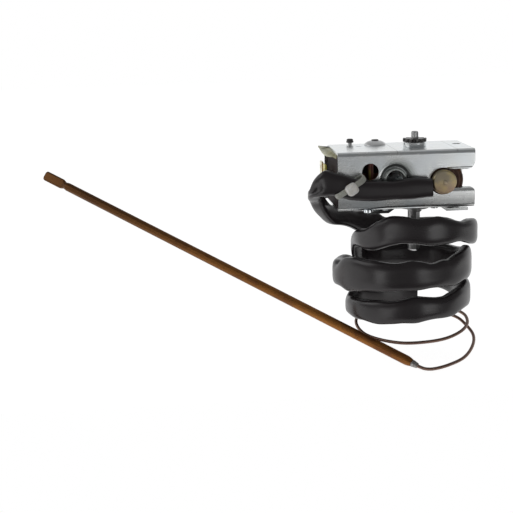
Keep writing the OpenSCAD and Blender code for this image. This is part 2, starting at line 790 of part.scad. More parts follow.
module coil_sweep(c, d, n) {
    m = len(c);
    pts = [for (i = [0 : m - 1])
        let (
            t = heading(c, i),
            r = unit([c[i][0] - guide_x, 0, c[i][2] - spring_z]),
            b = cross(t, r)
        )
        for (k = [0 : n - 1])
            c[i] + (r * cos(360 * k / n) + b * sin(360 * k / n)) * d / 2];
    caps = [
        for (k = [1 : n - 2]) [0, k + 1, k],
        for (k = [1 : n - 2]) [(m - 1) * n, (m - 1) * n + k, (m - 1) * n + k + 1]
    ];
    polyhedron(points = pts, faces = concat(wall_faces(m, n, 0, false), caps));
}

// flat plate that follows the cam and carries the spring seat
module setting_slide() color(steel)
    difference() {
        union() {
            box(slide_x0, 2.5, slide_front, slide_nose, slide_z, slide_z + slide_t);
            box(slide_x0, slide_x1, slide_front, seat_y + seat_t, slide_z, slide_z + slide_t);
            box(slide_x0, slide_x1, seat_y, seat_y + seat_t, slide_z, seat_top);
        }
        box(guide_x - guide_slot / 2, guide_x + guide_slot / 2, guide_y[0] - guide_d / 2 - 0.1,
            guide_y[1] + guide_d / 2 + cam_rise + 0.1, slide_z - 1, slide_z + slide_t + 1);
    }

module guide_pins() color(dull_steel)
    for (y = guide_y) {
        rod_z(guide_x, y, 4.6, floor_z, slide_z - face_gap);
        rod_z(guide_x, y, guide_d, slide_z - face_gap, slide_z + slide_t + face_gap);
        rod_z(guide_x, y, 4.4, slide_z + slide_t + face_gap, slide_z + slide_t + face_gap + 0.8);
    }

module stop_peg() color(dull_steel)
    rod_z(0, peg_r, peg_d, stop_z - 1.5, roof_z);

module spindle() color(dull_steel)
    difference() {
        union() {
            translate([0, 0, -spindle_out])
                cylinder(d1 = spindle_d - 1.4, d2 = spindle_d, h = 0.7);
            rod_z(0, 0, spindle_d, 0.7 - spindle_out, shoulder_z);
            rod_z(0, 0, shaft_collar_d, bush_top + face_gap, cam_z);
            rod_z(0, 0, tail_d, shoulder_z, tail_z - 0.4);
            translate([0, 0, tail_z - 0.4])
                cylinder(d1 = tail_d, d2 = tail_d - 0.8, h = 0.4);
        }
        rotate([0, 0, flat_angle])
            box(spindle_flat - spindle_d / 2, spindle_d, -spindle_d, spindle_d,
                -spindle_out - 1, -0.6);
    }

module cam() color(brass)
    difference() {
        translate([0, 0, cam_z])
            linear_extrude(cam_t)
                polygon([
                    for (q = [-cam_blend : 5 : turn_range + cam_blend])
                        let (r = cam_r0 + cam_rise * q / turn_range)
                        r * [cos(-90 - q), sin(-90 - q)]
                ]);
        rod_z(0, 0, spindle_d, cam_z - 1, cam_z + cam_t + 1);
    }

module stop_arm() color(steel)
    difference() {
        translate([0, 0, stop_z])
            linear_extrude(stop_t)
                polygon(concat(
                    [for (a = [135 - stop_half : 5 : 135 + stop_half])
                        stop_r * [cos(a), sin(a)]],
                    [for (a = [135 + stop_half + 6 : 12 : 495 - stop_half - 6])
                        4.6 * [cos(a), sin(a)]]
                ));
        rod_z(0, 0, spindle_d, stop_z - 1, stop_z + stop_t + 1);
    }

module star_ring() color(dark_metal)
    difference() {
        translate([0, 0, collar_z + 0.2])
            linear_extrude(star_t)
                polygon([
                    for (k = [0 : 2 * star_teeth - 1], e = [-4, 4])
                        let (r = k % 2 == 0 ? star_d / 2 : star_d / 2 - 1.1)
                        r * [cos(180 * k / star_teeth + e), sin(180 * k / star_teeth + e)]
                ]);
        rod_z(0, 0, tail_d, collar_z - 1, collar_z + 3);
    }

module insulating_sleeve() color(black)
    tube_sweep(smooth_path(sleeve_pts, 2), sleeve_wall, 16);

module capillary() color(copper) {
    lead = [[caps_x - 2.5, bore_y, bore_z], [caps_x - 5.3, bore_y, bore_z], [-1, run_y + 0.8, 13.2]];
    inside = [for (i = [2 : len(sleeve_pts) - 1]) xyz(sleeve_pts[i])];
    end = [bulb_near - bulb_dir * (bead_l + 0.4), bulb_near, bulb_near + bulb_dir * 2];
    wire_sweep(smooth_path(concat(lead, inside, bare_pts, end), 2), cap_d, 8);
}

module along_bulb() {
    translate(bulb_near)
        rotate([0, acos(bulb_dir[2]), atan2(bulb_dir[1], bulb_dir[0])])
            children();
}

// drawn rod: convex nose round the capillary, long straight body, neck and flattened end
module bulb() color(copper)
    along_bulb()
        difference() {
            union() {
                rotate_extrude()
                    polygon(concat(
                        [[0, 0]],
                        [for (k = [0 : 6])
                            [(tip_d + (bulb_d - tip_d) * sin(15 * k)) / 2, taper_l * k / 6]],
                        [[bulb_d / 2, bulb_len - neck_l - paddle_l], [neck_d2 / 2, bulb_len - paddle_l],
                            [0, bulb_len - paddle_l]]
                    ));
                translate([0, 0, bulb_len - paddle_l])
                    rotate([0, 0, paddle_turn])
                        paddle();
            }
            translate([0, 0, -1])
                cylinder(d = bulb_bore_d, h = 5);
        }

// flattened end: round edges, the two far corners rounded
module paddle()
    intersection() {
        union() {
            translate([-paddle_w / 2 + paddle_t / 2, -paddle_t / 2, -1])
                cube([paddle_w - paddle_t, paddle_t, paddle_l + 1]);
            for (s = [-1, 1])
                translate([s * (paddle_w - paddle_t) / 2, 0, -1])
                    cylinder(d = paddle_t, h = paddle_l + 1);
        }
        translate([0, paddle_t, 0])
            rotate([90, 0, 0])
                linear_extrude(2 * paddle_t)
                    polygon(concat(
                        [[-paddle_w, -2], [paddle_w, -2]],
                        [for (a = [0 : 15 : 90])
                            [paddle_w / 2 - paddle_round * (1 - cos(a)),
                                paddle_l - paddle_round * (1 - sin(a))]],
                        [for (a = [90 : 15 : 180])
                            [-paddle_w / 2 + paddle_round * (1 + cos(a)),
                                paddle_l - paddle_round * (1 - sin(a))]]
                    ));
    }

module braze_bead() color(dull_steel)
    along_bulb()
        translate([0, 0, -bead_l])
            difference() {
                cylinder(d1 = bulb_bore_d + 0.2, d2 = tip_d, h = bead_l);
                translate([0, 0, -1])
                    cylinder(d = bulb_bore_d, h = bead_l + 2);
            }

module tie_frame() {
    translate(tie_origin)
        rotate([0, tie_angle, 0])
            children();
}

// outline round the loop's corners, grow away from the band's middle line
function tie_outline(grow) =
    let (n = len(tie_corners))
    [for (i = [0 : n - 1])
        let (
            p = tie_corners[(i + n - 1) % n],
            c = tie_corners[i],
            q = tie_corners[(i + 1) % n],
            u = unit(c - p),
            v = unit(q - c),
            turn = acos(u * v),
            start = atan2(-u[0], u[1]),
            m = c + (v - u) / norm(v - u) * tie_r / cos(turn / 2)
        )
        for (k = [0 : 4])
            let (a = start + turn * k / 4)
            m + (tie_r + grow) * [cos(a), sin(a)]];

module tie_run()
    translate([0, 0, -tie_w / 2])
        linear_extrude(tie_w)
            difference() {
                polygon(tie_outline(tie_t / 2));
                polygon(tie_outline(-tie_t / 2));
            }

module tie_strap() color(nylon)
    tie_frame()
        tie_run();

module tie_head() color(nylon)
    tie_frame()
        difference() {
            translate([0, 0, tie_head_drop])
                box(tie_head_s, tie_head_s + tie_head[0], tie_y1 + 0.4 - tie_head[1], tie_y1 + 0.4,
                    -tie_head[2] / 2, tie_head[2] / 2);
            box(tie_head_s - 1, tie_head_s + tie_head[0] + 1, tie_y1 - tie_t / 2,
                tie_y1 + tie_t, -tie_w / 2, tie_w / 2);
        }

module cover_screws() color(steel)
    for (p = cover_screw_at) {
        rod_y(p[0], p[1], cover_screw_d, y_back - sheet_t - cover_screw_depth, y_back - 0.1);
        rod_y(p[0], p[1], cover_head_d, y_back - 0.1, y_back - 0.1 + cover_head_h);
    }

casing();
rear_cover();
cover_screws();
mount_bracket();
bracket_rivets();
spindle_bush();
top_collar();
top_boss();
boss_rivet();
top_stud();
block_screws();
switch_block();
insulating_card();
terminal_a();
terminal_b();
contact_pillar();
fixed_contact();
pivot_post();
contact_arm();
moving_contact();
contact_leaf();
lever_pin();
lever_spacers();
lever();
lever_tip();
capsule_head();
capsule_shell();
push_button();
range_spring();
setting_slide();
guide_pins();
stop_peg();
spindle();
cam();
stop_arm();
star_ring();
insulating_sleeve();
capillary();
bulb();
braze_bead();
tie_strap();
tie_head();
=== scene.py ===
import json
import math

import bmesh
import bpy
import numpy as np
from bpy.props import FloatProperty, FloatVectorProperty, IntProperty, PointerProperty
from bpy.types import Operator, Panel, PropertyGroup
from mathutils import Matrix, Vector


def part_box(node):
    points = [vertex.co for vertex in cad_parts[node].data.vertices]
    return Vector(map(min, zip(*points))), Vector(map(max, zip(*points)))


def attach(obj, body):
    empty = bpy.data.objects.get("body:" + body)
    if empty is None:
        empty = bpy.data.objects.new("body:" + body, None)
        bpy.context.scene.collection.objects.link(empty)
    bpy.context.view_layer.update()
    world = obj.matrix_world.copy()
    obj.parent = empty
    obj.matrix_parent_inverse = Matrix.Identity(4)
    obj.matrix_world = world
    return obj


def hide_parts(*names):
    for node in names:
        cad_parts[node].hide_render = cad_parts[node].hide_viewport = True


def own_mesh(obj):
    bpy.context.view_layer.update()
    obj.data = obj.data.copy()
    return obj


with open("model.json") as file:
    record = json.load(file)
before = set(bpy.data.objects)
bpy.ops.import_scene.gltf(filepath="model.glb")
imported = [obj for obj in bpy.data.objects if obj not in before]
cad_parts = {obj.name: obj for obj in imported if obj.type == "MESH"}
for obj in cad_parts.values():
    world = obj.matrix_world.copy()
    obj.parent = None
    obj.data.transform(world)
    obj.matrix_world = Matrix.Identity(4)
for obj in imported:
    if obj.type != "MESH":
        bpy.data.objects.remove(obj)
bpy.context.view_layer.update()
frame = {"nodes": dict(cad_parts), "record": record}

bl_info = {
    "name": "Capillary oven thermostat",
    "version": (1, 0, 0),
    "blender": (4, 5, 0),
    "location": "View3D > Sidebar > Thermostat",
    "description": "Finishes the parts of a capillary oven thermostat and sets its studio",
    "category": "Object",
}

MM = 0.001


def node_ends(node):
    """Lowest and highest corner of a CAD node in mm, to the hundredth."""
    return [np.round(np.array(corner) / MM, 2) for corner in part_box(node)]


def node_middle(node):
    return np.round(np.mean(node_ends(node), 0), 2)


# The flattened sleeve along its run, in mm: centre x, y, z, width and thickness
SLEEVE_WAY = [
    [3, -19.4, 12.9, 8.6, 6], [-4, -19.4, 12.6, 8.8, 6], [-12.5, -19.4, 12, 8, 5.9],
    [-21, -19.4, 11.9, 8.3, 5.8], [-30, -19.4, 13, 9, 5.8], [-37, -19.4, 15.2, 9.4, 5.6],
    [-42, -18.6, 15.2, 10, 5.2], [-45.2, -15.4, 13.4, 8.4, 5.2], [-45.1, -10.5, 10.3, 7.2, 5.6],
    [-43.2, -5, 6.8, 6.6, 6], [-39.3, 2, 1.2, 6.6, 6], [-31.9, 9, -3.7, 7.2, 6],
    [-23.5, 14.5, -8, 8.5, 5.8], [-12.5, 19, -10.8, 9.5, 5.6], [0, 21, -12.2, 10, 5.4],
    [12, 18.5, -12.2, 10.5, 5.4], [21, 10.5, -11.4, 11, 5.4], [24.4, -0.5, -10.4, 11, 5.4],
    [21, -13.5, -7.7, 10.5, 5.4], [12, -21.5, -5.9, 10, 5.4], [0, -24.8, -5.1, 11.6, 5.4],
    [-12, -21.6, -4.5, 11.7, 5.4], [-21, -13, -9.3, 10.4, 5.4], [-24.9, 0, -12.4, 6.2, 5.4],
    [-22.1, 13, -20.2, 11, 5.4], [-13, 21.5, -23.4, 10.5, 5.4], [1, 23.5, -24.4, 10.5, 5.4],
    [13, 20.5, -24.8, 11, 5.4], [20.7, 11, -24.8, 11.5, 5.4], [22.6, 0, -24, 12, 5.4],
    [17.5, -15.5, -21.8, 14.1, 5.4], [8, -23.5, -23.6, 11.2, 5.4], [-4, -27.2, -23.2, 11.9, 5.4],
    [-16, -25, -23.7, 12.3, 5.4], [-26.7, -16, -24.3, 14.3, 5.4], [-33, -1.5, -26.3, 11.5, 5.4],
    [-30.5, 14, -28.8, 11, 5.4], [-20, 24, -32, 10.5, 5.4], [-4, 29, -34, 10.5, 5.4],
    [12, 26.6, -35.6, 10.5, 5.2], [21, 14, -37.2, 11, 5.2], [21.9, -1, -37, 12, 5.4],
    [17.5, -13.5, -36.3, 11, 5.4], [9, -21.5, -38.2, 9.2, 5.4], [-3, -24.5, -38.4, 10.7, 5.4],
    [-14, -21.7, -39.8, 10.3, 5.4], [-24.2, -12.5, -40.7, 9.5, 5.4], [-27.9, 0, -41.6, 7.5, 5.4],
    [-24, 11.5, -41.8, 11, 5.4], [-14, 17.8, -42.6, 10.5, 5.2], [-3, 20, -43, 10, 5],
    [5.4, 19.7, -43.2, 10, 5],
]
# Waves of its edges: waypoint number, reach in waypoints, rise of the upper and of the lower edge
SLEEVE_WAVES = [
    [0.1, 0.60, -1.1, 0.0], [5.7, 0.35, 0.9, 0.0], [6.5, 0.40, -0.5, 0.0], [7.25, 0.55, -3.0, 0.3],
    [8.2, 0.60, -1.5, 0.0], [8.6, 0.50, 0.0, 0.8], [10.6, 0.40, 0.0, -0.7], [11.3, 0.45, 2.2, 0.0],
    [11.8, 0.60, 0.0, 1.8], [12.2, 0.45, 2.0, 0.0], [12.85, 0.25, 1.6, 0.0],
    [16.1, 0.45, -2.0, 0.8], [17.8, 0.25, 0.2, -0.3], [18.65, 0.35, -1.1, 0.6],
    [19.2, 0.25, 0.0, -0.4], [19.6, 0.28, 0.85, 0.0], [20.4, 0.33, -1.05, 0.35],
    [21.15, 0.20, 0.55, -0.35], [21.7, 0.25, 0.0, 0.2], [22.15, 0.30, -0.35, 0.0],
    [22.7, 0.35, 0.9, 0.0], [23.2, 0.45, 0.0, 0.8], [29.7, 0.30, 1.2, 0.0],
    [30.15, 0.32, -0.6, 0.60], [30.75, 0.20, 0.0, -0.25], [31.1, 0.22, 0.55, 0.2],
    [31.6, 0.25, -0.7, 0.3], [32.3, 0.25, 0.65, 0.0], [33.0, 0.30, -0.25, 0.1],
    [33.75, 0.28, -0.25, 0.55], [34.15, 0.20, 0.6, 0.0], [34.5, 0.22, 0.6, -1.2],
    [35.0, 0.25, -1.9, 0.3], [36.35, 0.40, 2.0, 0.0], [39.7, 0.50, 0.0, 1.1],
    [41.8, 0.30, -0.6, 0.2], [42.15, 0.25, -0.5, 0.1], [42.8, 0.20, 0.5, -0.3],
    [43.45, 0.28, -0.4, 0.3], [44.15, 0.22, 0.6, -0.3], [44.7, 0.22, -0.1, 0.3],
    [45.1, 0.25, -0.5, 0.1], [45.55, 0.28, 0.0, -0.4], [46.05, 0.20, 0.0, 0.2],
    [46.75, 0.25, 0.6, 0.1],
]
# The girth that the weave's UV map is laid out for
SLEEVE_GIRTH = 30.0
# The capillary from the capsule head into the sleeve, at the sleeve's end, and on to the bulb
LEAD_WAY = [[6.2, -18, 13.8], [3.4, -18, 13.8], [-1, -18.6, 13.2]]
LEAVING_WAY = [[-3, 20, -44.6], [5.4, 19.7, -46.8]]
BARE_WAY = [
    [13, 18.8, -48.2], [20.3, 11.5, -48.6], [23.1, 2, -48.8], [21.8, -8, -50], [16.8, -16.5, -51.1],
    [9, -22, -52.3], [0, -24, -52.9], [-10, -22.5, -53.3], [-19, -16, -53], [-24.3, -7.5, -52.2],
    [-25.9, 1, -49.8], [-22, 12, -49], [-12, 20.5, -49.4], [2, 23.5, -50.4], [14, 19.5, -51.4],
    [21.7, 12.5, -52.4], [24.8, 5, -54.6], [25.7, -4, -57], [22.4, -14, -59.2], [16.5, -22.5, -61.2],
    [9, -27, -62.6], [2.5, -29.9, -63], [-1.8, -31.6, -62.4],
]
BULB_NEAR = np.array([-7.4, -29.3, -60.2])
BULB_FAR = np.array([-167.05, 102.2, 6.9])
# Lengths and radii of the bulb's solder tip, nose and neck, and its flattened end
BEAD_L = 3.0
NOSE_L, NOSE_R = 3.0, 1.55
NECK_L, NECK_R = 2.5, 1.6
PADDLE_L, PADDLE_W, PADDLE_T, PADDLE_ROUND = 13.7, 4.9, 1.7, 1.2
PADDLE_TURN = math.radians(26)

# From the frame: upper face of the top sheet, inner and outer face of the web, the capsule head's
# seat, and the middles of capsule (x, z), boss and stud (x, y)
SHEET = 1.1
TOP = node_ends("casing")[1][2]
WEB_IN = node_ends("capsule_shell")[0][1]
WEB_OUT = WEB_IN - SHEET
HEAD_Y = node_ends("casing")[0][1] - 0.1
CAPSULE = node_middle("capsule_head")[[0, 2]]
BOSS = node_middle("top_boss")[:2]
STUD = node_middle("top_stud")[:2]
# The pressed ring's middle, its outer and inner radius, and the radius where its flank ends
RING = (-11.6, WEB_OUT, 15.9)
RING_FOOT, RING_BORE, RING_CROWN = 7.3, 3.52, 4.98
# The web's foot leans in below this height, by this much at the bend, over this span
LEAN_FROM, LEAN_BY, LEAN_SPAN = 9.0, 0.35, 4.2
# Marks: the pillar's painted highlight (x, z), scribed lines (x), and the hole (x, y) of the top sheet
# with painted shade on its wall
PILLAR_HIGHLIGHT = (-21.6, 19.6)
SCRIBED = (-10.5, 15.0)
PLATE_HOLE = (19.3, 3.1)
# The card's fold beside the block's left face, its front edge and depth, and its flap's rise at the
# back, extra rise in front, bow, and the reach over which the bend sets in
CARD_LEFT = node_ends("switch_block")[0][0] - 0.1
CARD_FRONT = node_ends("insulating_card")[0][1]
CARD_DEEP = node_ends("insulating_card")[1][1] - CARD_FRONT
FLAP_RISE, FLAP_EXTRA, FLAP_BOW, FLAP_FADE = 1.0, 0.75, 0.25, 0.8
# Depth and spacing of the tool marks on the capsule's head and of the shell's pressed rings
TOOL_DEPTH, TOOL_STEP = 0.018, 0.42
SHELL_DEPTH, SHELL_STEP = 0.10, 1.3

# The tie's loop in its own plane: corner points (along, across), and the frame of that plane
TIE_ORIGIN = np.array([-25.95, 0.0, 17.4])
TIE_ANGLE = math.radians(148.5)
TIE_CORNERS = [[1.2, -22.9], [13.2, -22.9], [13.2, -16.0], [-0.6, -16.0], [-0.6, -20.6]]
TIE_W, TIE_T, TOOTH, TOOTH_STEP = 2.4, 0.8, 0.13, 0.9
TIE_HEAD_AT, TIE_HEAD_SIZE = (6.5, -24.3, 0.3), (5.2, 3.6, 5.0)

# Springs, each with node, joint, still end (0 the low one in Y, 1 the high one), shortening in mm;
# only the node is used, its mesh made its own
SPRINGS = [("range_spring", "slide_travel", 0, 2.25), ("contact_leaf", "contact_turn", 1, 0.9)]
ZINC_PARTS = ["cover_screws", "bracket_rivets", "block_screws", "lever", "setting_slide",
              "stop_arm"]
DULL_PARTS = ["spindle_bush", "contact_leaf", "lever_pin", "lever_spacers", "range_spring",
              "guide_pins", "stop_peg", "push_button"]
BRASS_PARTS = ["cam"]
TARNISHED_PARTS = ["contact_pillar", "pivot_post", "contact_arm"]
SILVER_PARTS = ["fixed_contact", "moving_contact"]

# Poles and seams are welded; creases sharper than these stay sharp in new and in CAD pieces
POLE_WELD, CAD_WELD = 1e-7, 2e-6
SHARP_CREASE, CAD_CREASE = math.radians(50), math.radians(38)
FLAT_JOINT = math.radians(0.6)

# Studio, in metres: the floor's height and edges, the lamps' distance and what they look at
FLOOR_Z = -64.2 * MM
FLOOR_SIDE, FLOOR_FRONT, FLOOR_BACK = 1.6, -0.055, 1.8
LAMP_DISTANCE, LAMP_TARGET = 0.9, (-0.01, 0, -0.01)
# Lamps: name, azimuth from -Y towards +X and elevation in degrees, watts, width, height
LAMPS = [
    ("left_softbox", -52.0, -11.0, 0.56, 0.34, 0.26),
    ("right_softbox", 29.5, -11.0, 0.62, 0.36, 0.26),
    ("side_softbox", -88.0, 28.0, 1.1, 0.5, 0.5),
    ("low_softbox", -62.0, -34.0, 0.6, 0.35, 0.35),
    ("top_softbox", 150.0, 66.0, 0.5, 0.8, 0.8),
]
# The camera, fitted to the casing's corners: degrees, then mm from its pivot on the spindle's axis
SENSOR, LENS = 36.0, 84.21
CAMERA_TILT, CAMERA_TURN, CAMERA_ROLL = 12.08, 4.67, -1.51
CAMERA_BACK, CAMERA_RIGHT, CAMERA_UP, PIVOT_Z = 520.78, -68.58, -23.36, 3.0


# Shapes
def curve_through(way, per_span):
    """Catmull-Rom curve through the rows of way: on each span the four nearest rows are weighed by
    cubics of t, which pass through the two inner rows and share their slopes with the next span."""
    way = np.asarray(way, float)
    pad = np.vstack([way[:1], way, way[-1:]])
    t = np.arange(per_span) / per_span
    weights = 0.5 * np.stack([
        -t + 2 * t**2 - t**3,
        2 - 5 * t**2 + 3 * t**3,
        t + 4 * t**2 - 3 * t**3,
        -(t**2) + t**3,
    ])
    rows = np.stack([pad[:-3], pad[1:-2], pad[2:-1], pad[3:]])
    points = np.einsum("jt,jnk->ntk", weights, rows).reshape(-1, way.shape[1])
    return np.vstack([points, way[-1:]])


def unit(v):
    return v / np.linalg.norm(v, axis=-1, keepdims=True)


def distance_along(path):
    """Running length of a path, point by point."""
    return np.concatenate([[0.0], np.cumsum(np.linalg.norm(np.diff(path, axis=0), axis=1))])


def directions(path):
    """Across a path: its level side s = t x up, and s x t, which points up, t being its heading."""
    heading = unit(np.gradient(path, axis=0))
    side = unit(np.cross(heading, [0.0, 0.0, 1.0]))
    return side, np.cross(side, heading)


def bell(x, middle, reach):
    """1 at the middle, falling off as exp(-(x / reach)^2)."""
    return np.exp(-(((x - middle) / reach) ** 2))


def ease(x, low, high):
    """0 below low, 1 above high, 3t^2 - 2t^3 between them."""
    t = np.clip((x - low) / (high - low), 0, 1)
    return t * t * (3 - 2 * t)


def signed_power(x, exponent):
    """|x| to the exponent, with the sign of x."""
    return np.sign(x) * np.abs(x) ** exponent


def surface(name, points, wrap_rows=False, uv=None):
    """Mesh of quads over an (m, n, 3) array of points in mm. The columns close on themselves and the
    rows may; uv has one column more, and one row more where the rows close."""
    m, n = points.shape[:2]
    index = np.arange(m * n).reshape(m, n)
    index = np.hstack([index, index[:, :1]])
    if wrap_rows:
        index = np.vstack([index, index[:1]])

    def corners(grid):
        square = [grid[:-1, :-1], grid[:-1, 1:], grid[1:, 1:], grid[1:, :-1]]
        return np.stack(square, -1).reshape(-1)

    loops = corners(index)
    mesh = bpy.data.meshes.new(name)
    mesh.vertices.add(m * n)
    mesh.vertices.foreach_set("co", (points.reshape(-1) * MM).astype(np.float32))
    mesh.loops.add(len(loops))
    mesh.loops.foreach_set("vertex_index", loops.astype(np.int32))
    mesh.polygons.add(len(loops) // 4)
    mesh.polygons.foreach_set("loop_start", np.arange(0, len(loops), 4, dtype=np.int32))
    mesh.update(calc_edges=True)
    if uv is not None:
        layer = mesh.uv_layers.new(name="UVMap")
        wide = np.arange(uv.shape[0] * uv.shape[1]).reshape(uv.shape[:2])
        flat = uv.reshape(-1, 2)[corners(wide)]
        layer.data.foreach_set("uv", flat.reshape(-1).astype(np.float32))
    return mesh


def uv_grid(rows, girth, around):
    """UV map in metres, from the rows' running lengths and the girth in mm: length, then way round."""
    turn = np.linspace(0, girth, around + 1)
    return np.stack(np.meshgrid(rows * MM, turn * MM, indexing="ij"), -1)


def tidy_mesh(mesh):
    """Welds poles and seams, turns the faces outwards and shades them smooth but for sharp edges."""
    work = bmesh.new()
    work.from_mesh(mesh)
    bmesh.ops.remove_doubles(work, verts=work.verts, dist=POLE_WELD)
    bmesh.ops.recalc_face_normals(work, faces=work.faces)
    work.to_mesh(mesh)
    work.free()
    mesh.shade_smooth()
    mesh.set_sharp_from_angle(angle=SHARP_CREASE)
    return mesh


def place(name, mesh, body, material, slot, *nodes):
    """Puts a finished mesh into the scene on its body, in place of the CAD nodes it stands for."""
    piece = bpy.data.objects.new(name, mesh)
    bpy.context.scene.collection.objects.link(piece)
    mesh.materials.clear()
    mesh.materials.append(material)
    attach(piece, body)
    if nodes:
        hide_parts(*nodes)
    return piece


def lay(name, points, material, slot, *nodes, wrap_rows=False, uv=None):
    """Places a surface on the casing's body."""
    mesh = tidy_mesh(surface(name, points, wrap_rows, uv))
    return place(name, mesh, "casing", material, slot, *nodes)


def lathe(profile, around, centre, axis, start):
    """Surface of revolution: each (radius, height) of the profile turns about the axis through
    centre; point = centre + height * axis + radius * (cos a * start + sin a * axis x start)."""
    profile = np.asarray(profile, float)
    a = np.linspace(0, 2 * np.pi, around, endpoint=False)
    axis, start = unit(np.asarray(axis, float)), unit(np.asarray(start, float))
    other = np.cross(axis, start)
    ring = np.cos(a)[:, None] * start + np.sin(a)[:, None] * other
    return (
        np.asarray(centre, float)
        + profile[:, 1, None, None] * axis
        + profile[:, 0, None, None] * ring
    )


def cut_corner(before, here, after, reach, steps):
    """Curve that cuts the corner here, from the reach before it to the reach after it:
    (1 - t)^2 a + 2t(1 - t) here + t^2 b."""
    t = np.linspace(0, 1, steps)[:, None]
    a = here + reach * unit(before - here)
    b = here + reach * unit(after - here)
    return (1 - t) ** 2 * a + 2 * t * (1 - t) * here + t**2 * b


def rounded_profile(corners, radius):
    """Open polyline of (radius, height) whose inner corners are cut, short sides allowing."""
    corners = np.asarray(corners, float)
    out = [corners[:1]]
    for before, here, after in zip(corners[:-2], corners[1:-1], corners[2:]):
        shorter = min(np.linalg.norm(here - before), np.linalg.norm(after - here))
        out.append(cut_corner(before, here, after, min(radius, 0.45 * shorter), 5))
    out.append(corners[-1:])
    return np.vstack(out)


def rounded_loop(corners, radius):
    """Closed polyline of (along, across) whose corners are cut."""
    corners = np.asarray(corners, float)
    neighbours = zip(np.roll(corners, 1, 0), corners, np.roll(corners, -1, 0))
    return np.vstack([cut_corner(*three, radius, 6) for three in neighbours])


def evenly(path, count):
    """count points at even steps round a closed polyline."""
    path = np.vstack([path, path[:1]])
    run = distance_along(path)
    at = np.linspace(0, run[-1], count, endpoint=False)
    return np.stack([np.interp(at, run, path[:, k]) for k in range(path.shape[1])], -1)


def turned(name, profile, radius, centre, axis, start, material, slot, node, around=96):
    """Places a lathe piece whose profile of (radius, height) corners is rounded."""
    points = lathe(rounded_profile(profile, radius), around, centre, axis, start)
    return lay(name, points, material, slot, node)


def on_top(name, profile, radius, at, material, slot, node, around=96):
    """Stands a turned piece on the top sheet at (x, y); its heights count from the upper face."""
    return turned(name, profile, radius, (*at, TOP), (0, 0, 1), (1, 0, 0), material, slot, node,
                  around)


# Finishes
def scaled(shade, *shares):
    """The colour times one share, or times a share for each channel."""
    return tuple(np.multiply(shade, shares).tolist())


class Nodes:
    """Helpers over the node tree of a material or world, which starts empty. What an input takes is
    a constant or another node's output."""

    def __init__(self, owner):
        owner.use_nodes = True
        self.tree = owner.node_tree
        self.tree.nodes.clear()

    def feed(self, socket, value):
        if isinstance(value, bpy.types.NodeSocket):
            self.tree.links.new(value, socket)
        else:
            socket.default_value = value

    def node(self, kind, **inputs):
        """New node with its named inputs fed; an underscore stands for a blank in a name."""
        node = self.tree.nodes.new("ShaderNode" + kind)
        for name, value in inputs.items():
            self.feed(node.inputs[name.replace("_", " ")], value)
        return node

    def maths(self, how, a, b):
        node = self.node("Math")
        node.operation = how
        self.feed(node.inputs[0], a)
        self.feed(node.inputs[1], b)
        return node.outputs[0]

    def times(self, a, b):
        return self.maths("MULTIPLY", a, b)

    def spread(self, value, low, high, start=0.3, end=0.7, how="LINEAR"):
        """low where the value is up to start, high from end on; start and end are first a noise's
        usual middle band."""
        node = self.node("MapRange", Value=value, From_Min=start, From_Max=end, To_Min=low,
                         To_Max=high)
        node.interpolation_type = how
        return node.outputs["Result"]

    def choose(self, share, a, b):
        """Mixes two shaders: a where the share is 0, b where it is 1."""
        node = self.node("MixShader", Fac=share)
        self.feed(node.inputs[1], a.outputs[0])
        self.feed(node.inputs[2], b.outputs[0])
        return node.outputs[0]


